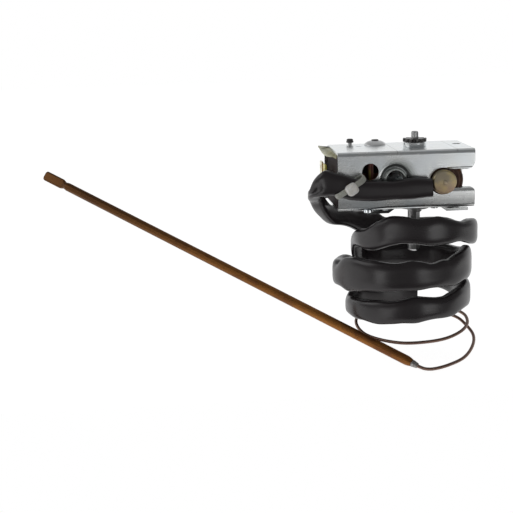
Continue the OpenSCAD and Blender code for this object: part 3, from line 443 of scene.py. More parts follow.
class Finish(Nodes):
    """A node material under way, in the object's own coordinates or its UV map."""

    def __init__(self, name, **settings):
        self.material = bpy.data.materials.new(name)
        super().__init__(self.material)
        self.body = self.node("BsdfPrincipled", **settings)
        self.node("OutputMaterial", Surface=self.body.outputs["BSDF"])
        self.where = self.node("TexCoord")

    def coords(self, scale=(1, 1, 1), place=(0, 0, 0), uv=False):
        where = self.where.outputs["UV" if uv else "Object"]
        return self.node("Mapping", Scale=scale, Location=place, Vector=where).outputs["Vector"]

    def part(self, output, which):
        """One component, 0, 1 or 2, of a coordinate output such as Object or Normal."""
        return self.node("SeparateXYZ", Vector=self.where.outputs[output]).outputs[which]

    def along(self, which, start, end, low, high):
        """low up to start mm along one coordinate, 0, 1 or 2, and high from end mm on."""
        return self.spread(self.part("Object", which), low, high, start * MM, end * MM)

    def distance(self, place, axes):
        """Distance from a place in mm, over those axes that are 1 and not 0."""
        node = self.node("VectorMath")
        node.operation = "LENGTH"
        away = [-at * MM for at in place]
        self.feed(node.inputs[0], self.coords(place=away, scale=axes))
        return node.outputs["Value"]

    def spot(self, place, axes, full, none, share=1.0):
        """share within full mm of a place, 0 beyond none mm."""
        return self.spread(self.distance(place, axes), share, 0.0, full * MM, none * MM)

    def noise(self, vector, scale, detail=3.0, rough=0.55):
        node = self.node("TexNoise", Vector=vector, Scale=scale, Detail=detail, Roughness=rough)
        return node.outputs["Fac"]

    def wave(self, vector, scale, kind, axis, warp, detail_scale=1.0):
        node = self.node("TexWave", Vector=vector, Scale=scale, Distortion=warp,
                         Detail_Scale=detail_scale)
        node.wave_type = kind
        if kind == "BANDS":
            node.bands_direction = axis
        else:
            node.rings_direction = axis
        return node.outputs["Fac"]

    def ramp(self, share, stops):
        node = self.node("ValToRGB", Fac=share)
        marks = node.color_ramp.elements
        while len(marks) < len(stops):
            marks.new(0.5)
        for mark, (at, colour) in zip(marks, stops):
            mark.position = at
            mark.color = (*colour, 1.0)
        return node.outputs["Color"]

    def mix(self, share, a, b):
        """Mixes two colours: a where the share is 0, b where it is 1."""
        node = self.node("Mix")
        node.data_type = "RGBA"
        self.feed(node.inputs[0], share)
        for socket, value in ((node.inputs[6], a), (node.inputs[7], b)):
            self.feed(socket, (*value, 1.0) if isinstance(value, tuple) else value)
        return node.outputs[2]

    def bump(self, *layers):
        """Stacked bumps; each layer is (height value, strength, depth in mm)."""
        last = {}
        for height, strength, depth in layers:
            node = self.node("Bump", Height=height, Strength=strength, Distance=depth * MM, **last)
            last = {"Normal": node.outputs["Normal"]}
        self.feed(self.body.inputs["Normal"], last["Normal"])

    def colour(self, socket):
        self.feed(self.body.inputs["Base Color"], socket)

    def roughness(self, socket):
        self.feed(self.body.inputs["Roughness"], socket)


def casing_marks_and_shade(f, tone, shade):
    """The casing's own marks and painted shade over its zinc tone. On the front web only, painted
    shade:
    a darker zone round the pressed ring, a darker flank of the ring, and a darker foot and lower bend.
    On the top sheet only: two scribed lines, and painted shade on the wall of the hole."""
    front = f.along(1, WEB_OUT + 0.1, WEB_IN + 0.2, 1.0, 0.0)
    top = f.along(2, TOP - 1.3, TOP - 0.9, 0.0, 1.0)
    ring = f.distance((RING[0], 0, RING[2]), (1, 0, 1))
    ring_flank_shade = f.times(f.spread(ring, 0.0, 0.7, 4.6 * MM, 5.0 * MM),
                    f.spread(ring, 1.0, 0.0, 6.0 * MM, 7.4 * MM))
    # Painted shade on the front web, then the scribed lines and painted shade in the hole of the top
    # sheet
    marks = [
        (front, f.spot((RING[0] + 1.2, 0, RING[2] + 1.0), (1, 0, 1), 5.6, 8.6),
         scaled(shade, 0.48, 0.50, 0.48)),
        (front, ring_flank_shade, scaled(shade, 0.25)),
        (front, f.along(2, 8.0, 10.5, 0.36, 0.0), (0.06, 0.06, 0.055)),
        (front, f.along(2, 3.2, 4.6, 0.8, 0.0), (0.14, 0.14, 0.135)),
    ]
    for x in SCRIBED:
        marks.append((top, f.spot((x, 0, 0), (1, 0, 0), 0.10, 0.22, 0.5), (0.10, 0.10, 0.10)))
    marks.append((top, f.spot((*PLATE_HOLE, 0), (1, 1, 0), 1.45, 1.75, 0.85), (0.12, 0.12, 0.12)))
    for face, share, colour in marks:
        tone = f.mix(f.times(share, face), tone, colour)
    return tone


def zinc_plate(name, shade, marked_and_shaded=False):
    """Bright zinc on rolled sheet: fine grain along X, broad cloudy tint and a few faint stains; the
    casing's zinc also carries its own marks and painted shade."""
    f = Finish(name, Metallic=1.0)
    here = f.coords()
    cloud = f.noise(here, 60, 2.0)
    grain = f.noise(f.coords(scale=(0.06, 1, 1)), 1800, 1.0, 0.5)
    stains = f.noise(here, 210, 2.0, 0.5)
    tone = f.mix(f.spread(cloud, 0.0, 1.0), scaled(shade, 0.92, 0.96, 0.99), shade)
    warm = f.spread(f.noise(here, 110, 1.0), 0.0, 0.5)
    tone = f.mix(warm, tone, scaled(shade, 1.0, 0.985, 0.95))
    # The casing's scribed lines and painted shade
    if marked_and_shaded:
        tone = casing_marks_and_shade(f, tone, shade)
    f.colour(f.mix(f.spread(stains, 0.16, 0.0, 0.30, 0.45), tone, scaled(shade, 0.6)))
    f.roughness(f.maths("ADD", f.spread(cloud, 0.22, 0.27), f.spread(grain, 0.0, 0.03)))
    f.bump((grain, 0.02, 0.01), (f.noise(here, 70, 1.0), 0.12, 0.20))
    return f.material


def frosted_zinc(shade):
    """Paler copy of the zinc for the boss, a painted highlight, in blotches over the metal."""
    f = Finish("frosted_zinc", Metallic=0.85)
    bloom = f.noise(f.coords(), 420)
    # Painted highlight: the zinc made paler
    painted_pale = tuple(min(0.97, c * 1.25) for c in shade)
    f.colour(f.mix(f.spread(bloom, 0.0, 0.5), painted_pale, shade))
    f.roughness(f.spread(bloom, 0.42, 0.55))
    f.bump((bloom, 0.1, 0.03))
    return f.material


def satin_steel(name, shade, side_shade=0.0):
    """Turned plain steel: fine rings along the part's own height and a dull grey bloom. A share of
    painted shade darkens the faces turned to +X, as on the spindle."""
    f = Finish(name, Metallic=1.0)
    rings = f.noise(f.coords(scale=(0.1, 0.1, 1)), 3800, 2.0)
    bloom = f.noise(f.coords(), 240, 4.0)
    tone = f.mix(f.spread(bloom, 0.0, 0.8), shade, scaled(shade, 0.6))
    # Painted shade on the faces turned to +X
    if side_shade:
        side_shaded = f.spread(f.part("Normal", 0), 0.0, side_shade, 0.3, 0.75)
        tone = f.mix(side_shaded, tone, (0.03, 0.03, 0.03))
    f.colour(tone)
    f.roughness(f.spread(bloom, 0.30, 0.48))
    f.bump((rings, 0.2, 0.02), (bloom, 0.15, 0.05))
    return f.material


def solder(shade):
    """Grey solder: lumpy, dull, with a burnt brown cast in its hollows."""
    f = Finish("solder", Metallic=0.9)
    lumps = f.noise(f.coords(), 1100, 3.0, 0.6)
    f.colour(f.mix(f.spread(lumps, 0.95, 0.3), shade, (0.10, 0.07, 0.05)))
    f.roughness(f.spread(lumps, 0.55, 0.38))
    f.bump((lumps, 0.5, 0.2))
    return f.material


def blackened_metal(name, shade, bare_below=None):
    """Blackened steel with rubbed places where the bright metal starts to show. Below the height
    bare_below, in mm, the metal is left bare."""
    f = Finish(name, Metallic=0.3 if bare_below else 1.0)
    here = f.coords()
    worn = f.noise(here, 900, 4.0, 0.6)
    tone = f.mix(f.spread(worn, 0.0, 0.7, 0.55, 0.8), shade, (0.30, 0.29, 0.27))
    if bare_below:
        tone = f.mix(f.along(2, bare_below - 0.1, bare_below, 1.0, 0.0), tone, (0.97, 0.97, 0.97))
    f.colour(tone)
    f.roughness(f.spread(worn, 0.45, 0.30, 0.4, 0.7))
    f.bump((f.noise(here, 2200, 2.0), 0.25, 0.03))
    return f.material


def sheet_brass(name, shade, dull, cut=None, metallic=1.0):
    """Stamped brass: rolled grain, tarnish in soft patches; faces turned to -Y, the cut edges in
    front, may be given a colour of their own, which is painted light."""
    f = Finish(name, Metallic=metallic)
    tarnish = f.noise(f.coords(), 330, 4.0, 0.6)
    grain = f.noise(f.coords(scale=(0.06, 1, 1)), 2400, 2.0)
    tone = f.mix(f.spread(tarnish, 0.0, 0.9, 0.42, 0.7), shade, dull)
    # Painted light on the faces turned to -Y, the front cut edges
    if cut:
        tone = f.mix(f.spread(f.part("Normal", 1), 1.0, 0.0, -0.9, -0.5), tone, cut)
    f.colour(tone)
    f.roughness(f.spread(tarnish, 0.28, 0.44))
    f.bump((grain, 0.15, 0.02), (tarnish, 0.12, 0.05))
    return f.material


def tarnished_brass(shade):
    """Brass inside the block: browned nearly black, but for a painted highlight, an olive strip low on
    the pillar.
    """
    f = Finish("tarnished_brass", Metallic=1.0)
    age = f.noise(f.coords(), 420, 3.0, 0.6)
    x, z = PILLAR_HIGHLIGHT
    # Painted highlight: an olive strip low on the pillar
    rubbed = f.times(f.spot((x, 0, 0), (1, 0, 0), 0.3, 0.55), f.along(2, z - 0.6, z + 0.6, 1.0, 0.0))
    dark = f.mix(f.spread(age, 0.0, 1.0), (0.24, 0.10, 0.085), (0.15, 0.07, 0.055))
    f.colour(f.mix(rubbed, dark, shade))
    f.roughness(f.spread(age, 0.36, 0.52))
    f.bump((age, 0.15, 0.04))
    return f.material


def turned_brass(shade, dull, centre):
    """Turned brass face: tool rings about the capsule's axis, grey-green oxide in blotches, and mauve
    in its lower part."""
    f = Finish("turned_brass", Metallic=1.0)
    x, z = centre
    face = f.coords(place=(-x * MM, 0, -z * MM), scale=(1, 0, 1))
    rings = f.wave(face, 620, "RINGS", "Y", 0.6, 2.0)
    oxide = f.noise(f.coords(), 230, 4.0, 0.6)
    low = f.along(2, z - 3.5, z + 1.0, 1.0, 0.0)
    tone = f.mix(f.spread(oxide, 0.25, 1.0, 0.36, 0.58), shade, dull)
    f.colour(f.mix(f.times(low, f.spread(oxide, 0.3, 0.9)), tone, scaled(dull, 1.15, 0.86, 0.88)))
    f.roughness(f.spread(oxide, 0.34, 0.52))
    f.bump((rings, 0.15, 0.02), (oxide, 0.2, 0.06))
    return f.material


def contact_silver(shade):
    """Contact silver, softly dented and a little sulphur-dulled."""
    f = Finish("contact_silver", Metallic=1.0)
    haze = f.noise(f.coords(), 600)
    f.colour(f.mix(f.spread(haze, 0.0, 0.5), shade, scaled(shade, 0.7)))
    f.roughness(f.spread(haze, 0.16, 0.32))
    f.bump((haze, 0.2, 0.04))
    return f.material


def browned_bronze(shade):
    """Heat-browned capsule shell: blotches from red-brown to near black."""
    f = Finish("browned_bronze", Metallic=0.85)
    here = f.coords()
    heat = f.noise(here, 150, 4.0, 0.6)
    f.colour(f.ramp(heat, [
        (0.30, scaled(shade, 0.35)), (0.52, shade), (0.72, (0.13, 0.06, 0.025)),
    ]))
    f.roughness(f.spread(heat, 0.5, 0.32))
    f.bump((f.noise(here, 1100), 0.2, 0.04))
    return f.material


def moulded_phenolic(shade):
    """Compression-moulded phenolic: dark brown with paler filler flecks and a satin skin."""
    f = Finish("moulded_phenolic", Specular_IOR_Level=0.15)
    here = f.coords()
    fleck = f.noise(here, 1500, 5.0, 0.7)
    drift = f.noise(here, 120, 2.0)
    base = f.mix(f.spread(drift, 0.0, 1.0), shade, scaled(shade, 0.7))
    f.colour(f.mix(f.spread(fleck, 0.0, 0.5, 0.58, 0.75), base, scaled(shade, 2.2)))
    f.roughness(f.spread(fleck, 0.62, 0.78))
    f.bump((fleck, 0.15, 0.03), (drift, 0.2, 0.1))
    return f.material


def waxed_card(shade):
    """Waxed insulating card: long pressed fibres, a slightly translucent body and a painted olive
    shadow towards the fold of its flap, stronger in front."""
    f = Finish("waxed_card", Subsurface_Weight=0.15, Subsurface_Scale=0.0006,
               Subsurface_Radius=(1.0, 0.9, 0.7), Coat_Weight=0.2, Coat_Roughness=0.35)
    fibre = f.noise(f.coords(scale=(1, 0.12, 1)), 2600, 4.0, 0.65)
    blot = f.noise(f.coords(), 170)
    tone = f.mix(f.spread(fibre, 0.0, 0.4), shade, scaled(shade, 0.88))
    # Painted shadow: olive towards the flap's fold, stronger in front
    inner = f.along(0, CARD_LEFT - 2.6, CARD_LEFT - 0.6, 0.0, 1.0)
    front = f.along(1, 0.0, 9.0, 1.0, 0.25)
    tone = f.mix(f.times(inner, front), tone, (0.22, 0.20, 0.08))
    f.colour(f.mix(f.spread(blot, 0.0, 0.5), tone, scaled(shade, 0.9, 0.88, 0.6)))
    f.roughness(f.spread(fibre, 0.5, 0.7))
    f.bump((fibre, 0.3, 0.04))
    return f.material


def black_sleeving(shade):
    """Soft black sleeving: faint woven base through the skin, scuffs and broad changes of sheen."""
    f = Finish("black_sleeving", Specular_IOR_Level=0.5)
    run = f.coords(uv=True)
    scuff = f.noise(f.coords(uv=True, scale=(0.3, 1.4, 1)), 260, 4.0, 0.6)
    drift = f.noise(f.coords(), 55)
    weave = f.times(f.wave(run, 330, "BANDS", "X", 0.4), f.wave(run, 330, "BANDS", "Y", 0.4))
    f.colour(f.mix(f.spread(drift, 0.0, 1.0), shade, scaled(shade, 1.3)))
    f.roughness(f.maths("ADD", f.spread(drift, 0.24, 0.32), f.spread(scuff, 0.0, 0.06)))
    f.bump((weave, 0.04, 0.04), (scuff, 0.12, 0.06), (drift, 0.15, 0.5))
    return f.material


def browned_copper(name, shade, gold, wine, streak):
    """Drawn copper browned by heat: long streaks along the run from gold to wine, darker towards the
    far end, with dark spots."""
    f = Finish(name, Metallic=0.85)
    along = f.noise(f.coords(uv=True, scale=(streak, 1, 1)), 420, 3.0, 0.6)
    heat = f.noise(f.coords(uv=True, scale=(0.25, 0.6, 1)), 140, 3.0, 0.6)
    pits = f.noise(f.coords(), 1900, 3.0, 0.6)
    tone = f.ramp(heat, [(0.34, wine), (0.48, shade), (0.60, shade), (0.72, gold)])
    tone = f.mix(f.spread(along, 0.0, 0.6), tone, scaled(shade, 0.62))
    tone = f.mix(f.along(0, -130.0, -30.0, 0.85, 0.0), tone, scaled(wine, 0.95, 1.35, 0.6))
    f.colour(f.mix(f.spread(pits, 0.5, 0.0, 0.28, 0.4), tone, (0.03, 0.018, 0.012)))
    f.roughness(f.spread(along, 0.40, 0.54))
    f.bump((along, 0.2, 0.03), (pits, 0.15, 0.03))
    return f.material


def natural_nylon(name, shade):
    """Natural nylon: milky and slightly see-through, with moulding flow and handling marks."""
    f = Finish(name, Subsurface_Weight=0.35, Subsurface_Scale=0.0012,
               Subsurface_Radius=(1.0, 0.95, 0.85))
    here = f.coords()
    flow = f.noise(here, 320)
    f.colour(f.mix(f.spread(flow, 0.0, 0.7), shade, scaled(shade, 0.82)))
    f.roughness(f.spread(flow, 0.30, 0.45))
    f.bump((f.noise(here, 900), 0.2, 0.05))
    return f.material


# Settings
def base_colour(name, what, *default):
    """Setting for the base colour of what it names."""
    return FloatVectorProperty(
        name=name, description="Colour of " + what, subtype="COLOR", default=default, min=0, max=1)


def length_setting(name, what, default, low, high):
    """Setting for a length, given in mm and kept in metres."""
    return FloatProperty(
        name=name, description=what, unit="LENGTH", precision=5, default=default * MM,
        min=low * MM, max=high * MM)


class ThermostatColours(PropertyGroup):
    """Base colours of the finishes."""

    zinc: base_colour("Zinc plate", "the zinc-plated sheet", 0.81, 0.82, 0.82)
    steel: base_colour("Plain steel", "the turned steel", 0.66, 0.66, 0.66)
    black_metal: base_colour("Blackened metal", "the blackened fixings", 0.125, 0.12, 0.118)
    brass: base_colour("Brass", "the stamped brass", 0.72, 0.58, 0.20)
    # This colour is only that of the pillar's painted highlight strip
    tarnished: base_colour("Tarnished brass", "the brass inside the block", 0.22, 0.17, 0.05)
    # Rear and front tabs: lit and shaded copies of one brass, a painted reflection
    pale_brass: base_colour("Rear tab", "the rear tab's highlit brass", 0.90, 0.88, 0.66)
    yellow_brass: base_colour("Front tab", "the front tab's brass", 0.72, 0.64, 0.16)
    head: base_colour("Capsule head", "the turned brass head", 0.66, 0.53, 0.24)
    head_dull: base_colour("Head oxide", "the oxide on the head", 0.44, 0.38, 0.28)
    bronze: base_colour("Capsule shell", "the browned shell", 0.085, 0.048, 0.036)
    silver: base_colour("Contacts", "the silver contacts", 0.80, 0.79, 0.76)
    phenolic: base_colour("Phenolic", "the moulded block", 0.028, 0.017, 0.017)
    card: base_colour("Card", "the insulating card", 0.98, 0.97, 0.80)
    sleeve: base_colour("Sleeve", "the insulating sleeve", 0.0175, 0.0130, 0.0145)
    copper: base_colour("Copper", "the browned copper", 0.36, 0.145, 0.032)
    nylon: base_colour("Nylon", "the cable tie", 0.96, 0.93, 0.88)


class ThermostatSizes(PropertyGroup):
    """Sizes that a finished piece may be given."""

    edge: length_setting("Edge round", "Round on the edges of the sheet metal parts", 0.3, 0.02, 0.5)
    sleeve_wall: length_setting("Sleeve wall", "Wall thickness of the sleeve", 0.8, 0.3, 1.5)
    capillary: length_setting("Capillary", "Outside diameter of the capillary", 1.4, 0.8, 2.5)
    bulb: length_setting("Bulb", "Diameter of the sensing bulb", 4.2, 2, 8)
    sleeve_corner: FloatProperty(
        name="Sleeve squareness", description="Power of the sleeve's section, 2 being an oval",
        default=3.0, min=2, max=8)
    around: IntProperty(
        name="Points round a section", description="Mesh points round the sleeve's section",
        default=48, min=16, max=96)


def sizes():
    return bpy.context.scene.thermostat_sizes


def size(name):
    """A length among the settings, in mm."""
    return getattr(sizes(), name) / MM


def tint(name):
    return tuple(getattr(bpy.context.scene.thermostat_colours, name))


def body_of_node(node):
    """Name of the body that a CAD node belongs to."""
    return next(b for b, nodes in frame["record"]["behaviour"]["bodies"].items() if node in nodes)


def slot_of_node(node):
    return next(s["material_slot"] for s in frame["record"]["subparts"] if s["node"] == node)


def paint(nodes, material):
    """Gives CAD nodes their finish."""
    for node in nodes:
        mesh = frame["nodes"][node].data
        mesh.materials.clear()
        mesh.materials.append(material)


def give_way(node, joint, still, give):
    """Gives the spring's object a mesh of its own. The joint, the still end and the give are not used.
    """
    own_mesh(frame["nodes"][node])


def soften(node, material, edge, change=None):
    """Stands a copy in for a node: its triangles are welded, flat faces joined, and a Bevel modifier
    rounds every crease. change may bend the welded mesh first."""
    mesh = frame["nodes"][node].data.copy()
    mesh.name = node + "_finished"
    work = bmesh.new()
    work.from_mesh(mesh)
    bmesh.ops.remove_doubles(work, verts=work.verts, dist=CAD_WELD)
    bmesh.ops.dissolve_limit(work, angle_limit=FLAT_JOINT, verts=work.verts, edges=work.edges)
    if change:
        change(work)
    work.to_mesh(mesh)
    work.free()
    mesh.shade_smooth()
    mesh.set_sharp_from_angle(angle=CAD_CREASE)
    piece = place(node + "_finished", mesh, body_of_node(node), material, slot_of_node(node), node)
    rounding = piece.modifiers.new("edge_round", "BEVEL")
    rounding.width = edge * MM
    rounding.segments = 3
    rounding.limit_method = "ANGLE"
    rounding.angle_limit = CAD_CREASE
    rounding.use_clamp_overlap = True
    flats = piece.modifiers.new("flat_faces", "WEIGHTED_NORMAL")
    flats.keep_sharp = False
    flats.weight = 80


# Operators
class THERMOSTAT_OT_sheet_metal(Operator):
    """Zinc-plated casing, cover and bracket with rounded edges, and the other zinc parts"""

    bl_idname = "thermostat.sheet_metal"
    bl_label = "Sheet metal"

    def execute(self, context):
        zinc = zinc_plate("zinc_plate", tint("zinc"))
        # The casing's zinc, also on the pressed ring, carries scribed lines and painted shade
        worn = zinc_plate("casing_zinc", tint("zinc"), marked_and_shaded=True)
        paint(ZINC_PARTS, zinc)
        soften("casing", worn, size("edge"), change=lean_web)
        soften("rear_cover", zinc, size("edge"))
        # The bracket's zinc is a darker copy of the casing's: painted shade
        dull = zinc_plate("dull_zinc", scaled(tint("zinc"), 0.6))
        soften("mount_bracket", dull, size("edge"))
        lay("pressed_ring", ring_points(), worn, "zinc_steel")
        dome = [(0, -0.02), (4.9, -0.02), (4.88, 0.12), (4.5, 0.62), (3.5, 1.28), (2.5, 1.66),
                (1.7, 1.8), (1.1, 1.8), (1.1, -0.02), (0, -0.02)]
        on_top("boss_dome", dome, 0.35, BOSS, frosted_zinc(tint("zinc")), "zinc_steel", "top_boss")
        collar = [(1.6, 0), (4.9, 0), (4.9, 1.9), (1.6, 1.9), (1.6, -1.0), (3.0, -1.0)]
        on_top("collar", collar, 0.2, (0, 0), zinc, "zinc_steel", "top_collar")
        return {"FINISHED"}


def ring_points():
    """Pressed ring on the web: its flank sinks by an eased step from the foot to the crown, and the
    crown turns back into the bore."""
    r = np.linspace(RING_FOOT, RING_CROWN, 60)
    flank = list(zip(r, 0.03 - 0.66 * ease(RING_FOOT - 0.2 - r, 0, 1.75)))
    crown = [(4.97, -0.55), (4.96, 0.1), (4.85, 0.42), (4.5, 0.64), (3.9, 0.64), (3.62, 0.5),
             (RING_BORE, 0.15), (RING_BORE, -1.7), (3.9, -1.7)]
    profile = np.vstack([[(RING_FOOT, -0.3)], flank, rounded_profile(crown, 0.12)])
    return lathe(profile, 128, RING, (0, -1, 0), (1, 0, 0))


def lean_web(work):
    """Leans the foot of the web inwards: its face moves in by the square of the depth below the
    height where the lean starts."""
    front = (WEB_OUT + 2.0) * MM
    for share in (0, 1 / 3, 2 / 3, 1):
        height = LEAN_FROM - share * LEAN_SPAN
        bmesh.ops.bisect_plane(
            work, geom=work.verts[:] + work.edges[:] + work.faces[:], dist=POLE_WELD,
            plane_co=(0, 0, height * MM), plane_no=(0, 0, 1))
    for v in work.verts:
        depth = LEAN_FROM - v.co.z / MM
        if v.co.y < front and depth > 0:
            v.co.y += LEAN_BY * MM * min(1.0, depth / LEAN_SPAN) ** 2


class THERMOSTAT_OT_turned_steel(Operator):
    """Spindle, bush, pins and springs in plain steel, and the blackened fixings"""

    bl_idname = "thermostat.turned_steel"
    bl_label = "Turned steel"

    def execute(self, context):
        steel = satin_steel("satin_steel", tint("steel"))
        # The spindle's steel, with painted shade on its +X faces
        side_shaded = satin_steel("greased_steel", tint("steel"), 0.9)
        black = blackened_metal("blackened_metal", tint("black_metal"))
        capped = blackened_metal("blackened_cap", tint("black_metal"), TOP + 0.95)
        paint(DULL_PARTS, steel)
        for spring in SPRINGS:
            give_way(*spring)
        soften("spindle", side_shaded, 0.12)
        soften("star_ring", black, 0.15)
        rivet = [(0, -1.1), (1.1, -1.1), (1.1, 1.8), (1.6, 1.8), (1.55, 2.2), (1.2, 2.3), (0, 2.3)]
        on_top("rivet_top", rivet, 0.12, BOSS, black, "dark_metal", "boss_rivet", around=48)
        stud = [(0, -1.1), (0.9, -1.1), (0.9, 0.9), (1.6, 0.95), (1.62, 1.5), (1.45, 1.75),
                (1.45, 2.3), (1.1, 2.6), (0, 2.6)]
        on_top("stud_top", stud, 0.2, STUD, capped, "dark_metal", "top_stud", around=48)
        return {"FINISHED"}


class THERMOSTAT_OT_switch(Operator):
    """Moulded switch block with its bent card, brass blades and silver contacts"""

    bl_idname = "thermostat.switch"
    bl_label = "Switch"

    def execute(self, context):
        phenolic = moulded_phenolic(tint("phenolic"))
        paint(["lever_tip"], phenolic)
        soften("switch_block", phenolic, 0.25)
        soften("insulating_card", waxed_card(tint("card")), 0.06, change=curl_flap)
        brass = sheet_brass("sheet_brass", tint("brass"), (0.36, 0.26, 0.08))
        paint(BRASS_PARTS, brass)
        paint(TARNISHED_PARTS, tarnished_brass(tint("tarnished")))
        paint(SILVER_PARTS, contact_silver(tint("silver")))
        # Painted reflection: the rear tab's brass is a paler copy, the front tab's a darker, yellower
        # one, and their front edges get painted light
        painted_pale = sheet_brass("pale_brass", tint("pale_brass"), (0.74, 0.68, 0.44),
                           (0.85, 0.42, 0.10), 0.6)
        shaded_yellow = sheet_brass("yellow_brass", tint("yellow_brass"), (0.42, 0.33, 0.05),
                             (0.80, 0.72, 0.10), 0.5)
        soften("terminal_a", painted_pale, 0.1)
        soften("terminal_b", shaded_yellow, 0.1)
        return {"FINISHED"}


def curl_flap(work):
    """Bends the card's flap: past the block's left face it rises by lift * v + bow * sin(pi v), with
    v the share of the way out to the free edge; lift falls from the front to the back."""
    left = CARD_LEFT * MM
    out = [e for e in work.edges
           if abs(e.verts[0].co.y - e.verts[1].co.y) < 1e-5
           and min(v.co.x for v in e.verts) < left - 2e-5
           and abs(e.verts[0].co.x - e.verts[1].co.x) > 2e-5]
    reach = {}
    for v in work.verts:
        key = round(v.co.y * 1e5)
        reach[key] = min(reach.get(key, 0.0), v.co.x)
    bmesh.ops.subdivide_edges(work, edges=out, cuts=5, use_grid_fill=True)
    for v in work.verts:
        far = reach.get(round(v.co.y * 1e5), left) - left
        if v.co.x < left - 1e-6 and far < -1e-5:
            share = min(1.0, (v.co.x - left) / far)
            back = (v.co.y / MM - CARD_FRONT) / CARD_DEEP
            lift = FLAP_RISE + FLAP_EXTRA * (1 - float(ease(back, 0.35, 0.8)))
            bend = lift * share + FLAP_BOW * math.sin(math.pi * share)
            v.co.z += bend * MM * min(1.0, -far / (FLAP_FADE * MM))


class THERMOSTAT_OT_capsule(Operator):
    """Pressure capsule: turned brass head outside the web and browned shell behind it"""

    bl_idname = "thermostat.capsule"
    bl_label = "Pressure capsule"

    def execute(self, context):
        brass = turned_brass(tint("head"), tint("head_dull"), CAPSULE)
        lay("turned_head", head_face_points(), brass, "brass", "capsule_head")
        lay("browned_shell", shell_points(), browned_bronze(tint("bronze")), "bronze",
            "capsule_shell")
        return {"FINISHED"}


def head_face_points():
    """Turned head: its face rises evenly towards the pip, with tool marks, a sine of the radius."""
    x, z = CAPSULE
    corners = [(0, -1.8), (3.5, -1.8), (3.5, 0), (5.1, 0), (5.1, 2.45), (4.62, 3.0)]
    pip = [(0.92, 3.62), (0.86, 3.86), (0.3, 3.9), (0, 3.9)]
    r = np.linspace(4.5, 1.0, 96)
    rise = 3.0 + 0.6 * (4.6 - r) / 3.7 + TOOL_DEPTH * np.sin(2 * np.pi * r / TOOL_STEP)
    profile = np.vstack([
        rounded_profile(corners, 0.16), np.stack([r, rise], -1), rounded_profile(pip, 0.1)])
    return lathe(profile, 128, (x, HEAD_Y, z), (0, -1, 0), (1, 0, 0))


def shell_points():
    """Capsule shell behind the web: a flat face with pressed rings, a cosine of the radius, then the
    rolled rim and the stepped back."""
    x, z = CAPSULE
    r = np.linspace(3.2, 8.4, 120)
    wavy = 0.02 + SHELL_DEPTH * (1 - np.cos(2 * np.pi * (r - 3.2) / SHELL_STEP)) / 2
    back = [(8.6, 0.02), (9.1, 0.5), (9.1, 1.6), (7.9, 2.1), (7.1, 2.6), (5.5, 2.8), (4.5, 4.0),
            (1.65, 4.0), (1.65, 3.0), (0, 3.0)]
    profile = np.vstack([
        [(0, 0.0), (3.0, 0.0)], np.stack([r, wavy], -1), rounded_profile(back, 0.3)])
    return lathe(profile, 128, (x, WEB_IN, z), (0, 1, 0), (1, 0, 0))


def sleeve_points():
    """Outer and inner skins of the flattened sleeve, joined over both cut ends.

    At running length u and angle a the section is a superellipse about the path's centre:
    centre + edge * (W/2 * c + shift) + side * T/2 * s, where c = sgn(cos a)|cos a|^(2/p) and
    s = sgn(sin a)|sin a|^(2/p). The upper and lower edges are shifted by bells along the run, slow
    sines ripple both, and round the fold at the left a groove is pressed into the outer face."""
    steps = 13
    way = curve_through(SLEEVE_WAY, steps)
    centre, width, thick = way[:, :3], way[:, 3], way[:, 4]
    number = np.arange(len(way)) / steps
    u = distance_along(centre)
    side, edge = directions(centre)
    upper = 0.10 * np.sin(u / 3.1 + 0.8) + 0.08 * np.sin(u / 1.9 + 2.0)
    lower = 0.10 * np.sin(u / 3.7 + 2.1) + 0.08 * np.sin(u / 2.2)
    for at, reach, rise, fall in SLEEVE_WAVES:
        upper = upper + rise * bell(number, at, reach)
        lower = lower + fall * bell(number, at, reach)
    a = np.linspace(0, 2 * np.pi, sizes().around, endpoint=False)
    power = 2 / sizes().sleeve_corner
    ca = signed_power(np.cos(a), power)
    sa = signed_power(np.sin(a), power)
    shift = upper[:, None] * (1 + ca) / 2 + lower[:, None] * (1 - ca) / 2
    hollow = 0.30 * np.sin(u / 4.6 + 0.6) ** 2 * bell(number, 26, 14)
    fold = 1.5 * bell(number, 6.75, 0.62)
    middle = (1 - np.abs(ca)) * (np.abs(sa) > 0.2)
    groove = bell(ca, -0.05, 0.30) * (sa < 0)
    press = hollow[:, None] * middle * np.sign(-sa) + fold[:, None] * groove
    skins = []
    for inset in (0.0, size("sleeve_wall")):
        w = width / 2 - inset
        t = thick / 2 - inset
        skins.append(
            centre[:, None]
            + edge[:, None] * (w[:, None] * ca + shift)[..., None]
            + side[:, None] * (t[:, None] * sa + press)[..., None]
        )
    points = np.vstack([skins[0], skins[1][::-1]])
    wall = size("sleeve_wall")
    rows = np.concatenate([u, u[-1] + wall + u, [2 * (u[-1] + wall)]])
    return points, uv_grid(rows, SLEEVE_GIRTH, len(a))


class THERMOSTAT_OT_sleeve(Operator):
    """Insulating sleeve: flattened black tube along the coiled capillary"""

    bl_idname = "thermostat.sleeve"
    bl_label = "Insulating sleeve"

    def execute(self, context):
        points, uv = sleeve_points()
        lay("sleeve", points, black_sleeving(tint("sleeve")), "black_sleeve",
            "insulating_sleeve", wrap_rows=True, uv=uv)
        return {"FINISHED"}


def round_tube(path, radius, around):
    """Tube about a path: centre + radius * (cos a * edge + sin a * side), closed to a point at
    both ends. The radius may change along the path."""
    side, edge = directions(path)
    a = np.linspace(0, 2 * np.pi, around, endpoint=False)
    radius = np.broadcast_to(radius, len(path)).copy()
    radius[0] = radius[-1] = 0.0
    ring = edge[:, None] * np.cos(a)[None, :, None] + side[:, None] * np.sin(a)[None, :, None]
    points = path[:, None] + radius[:, None, None] * ring
    return points, uv_grid(distance_along(path), 2 * np.pi * radius.max(), around)


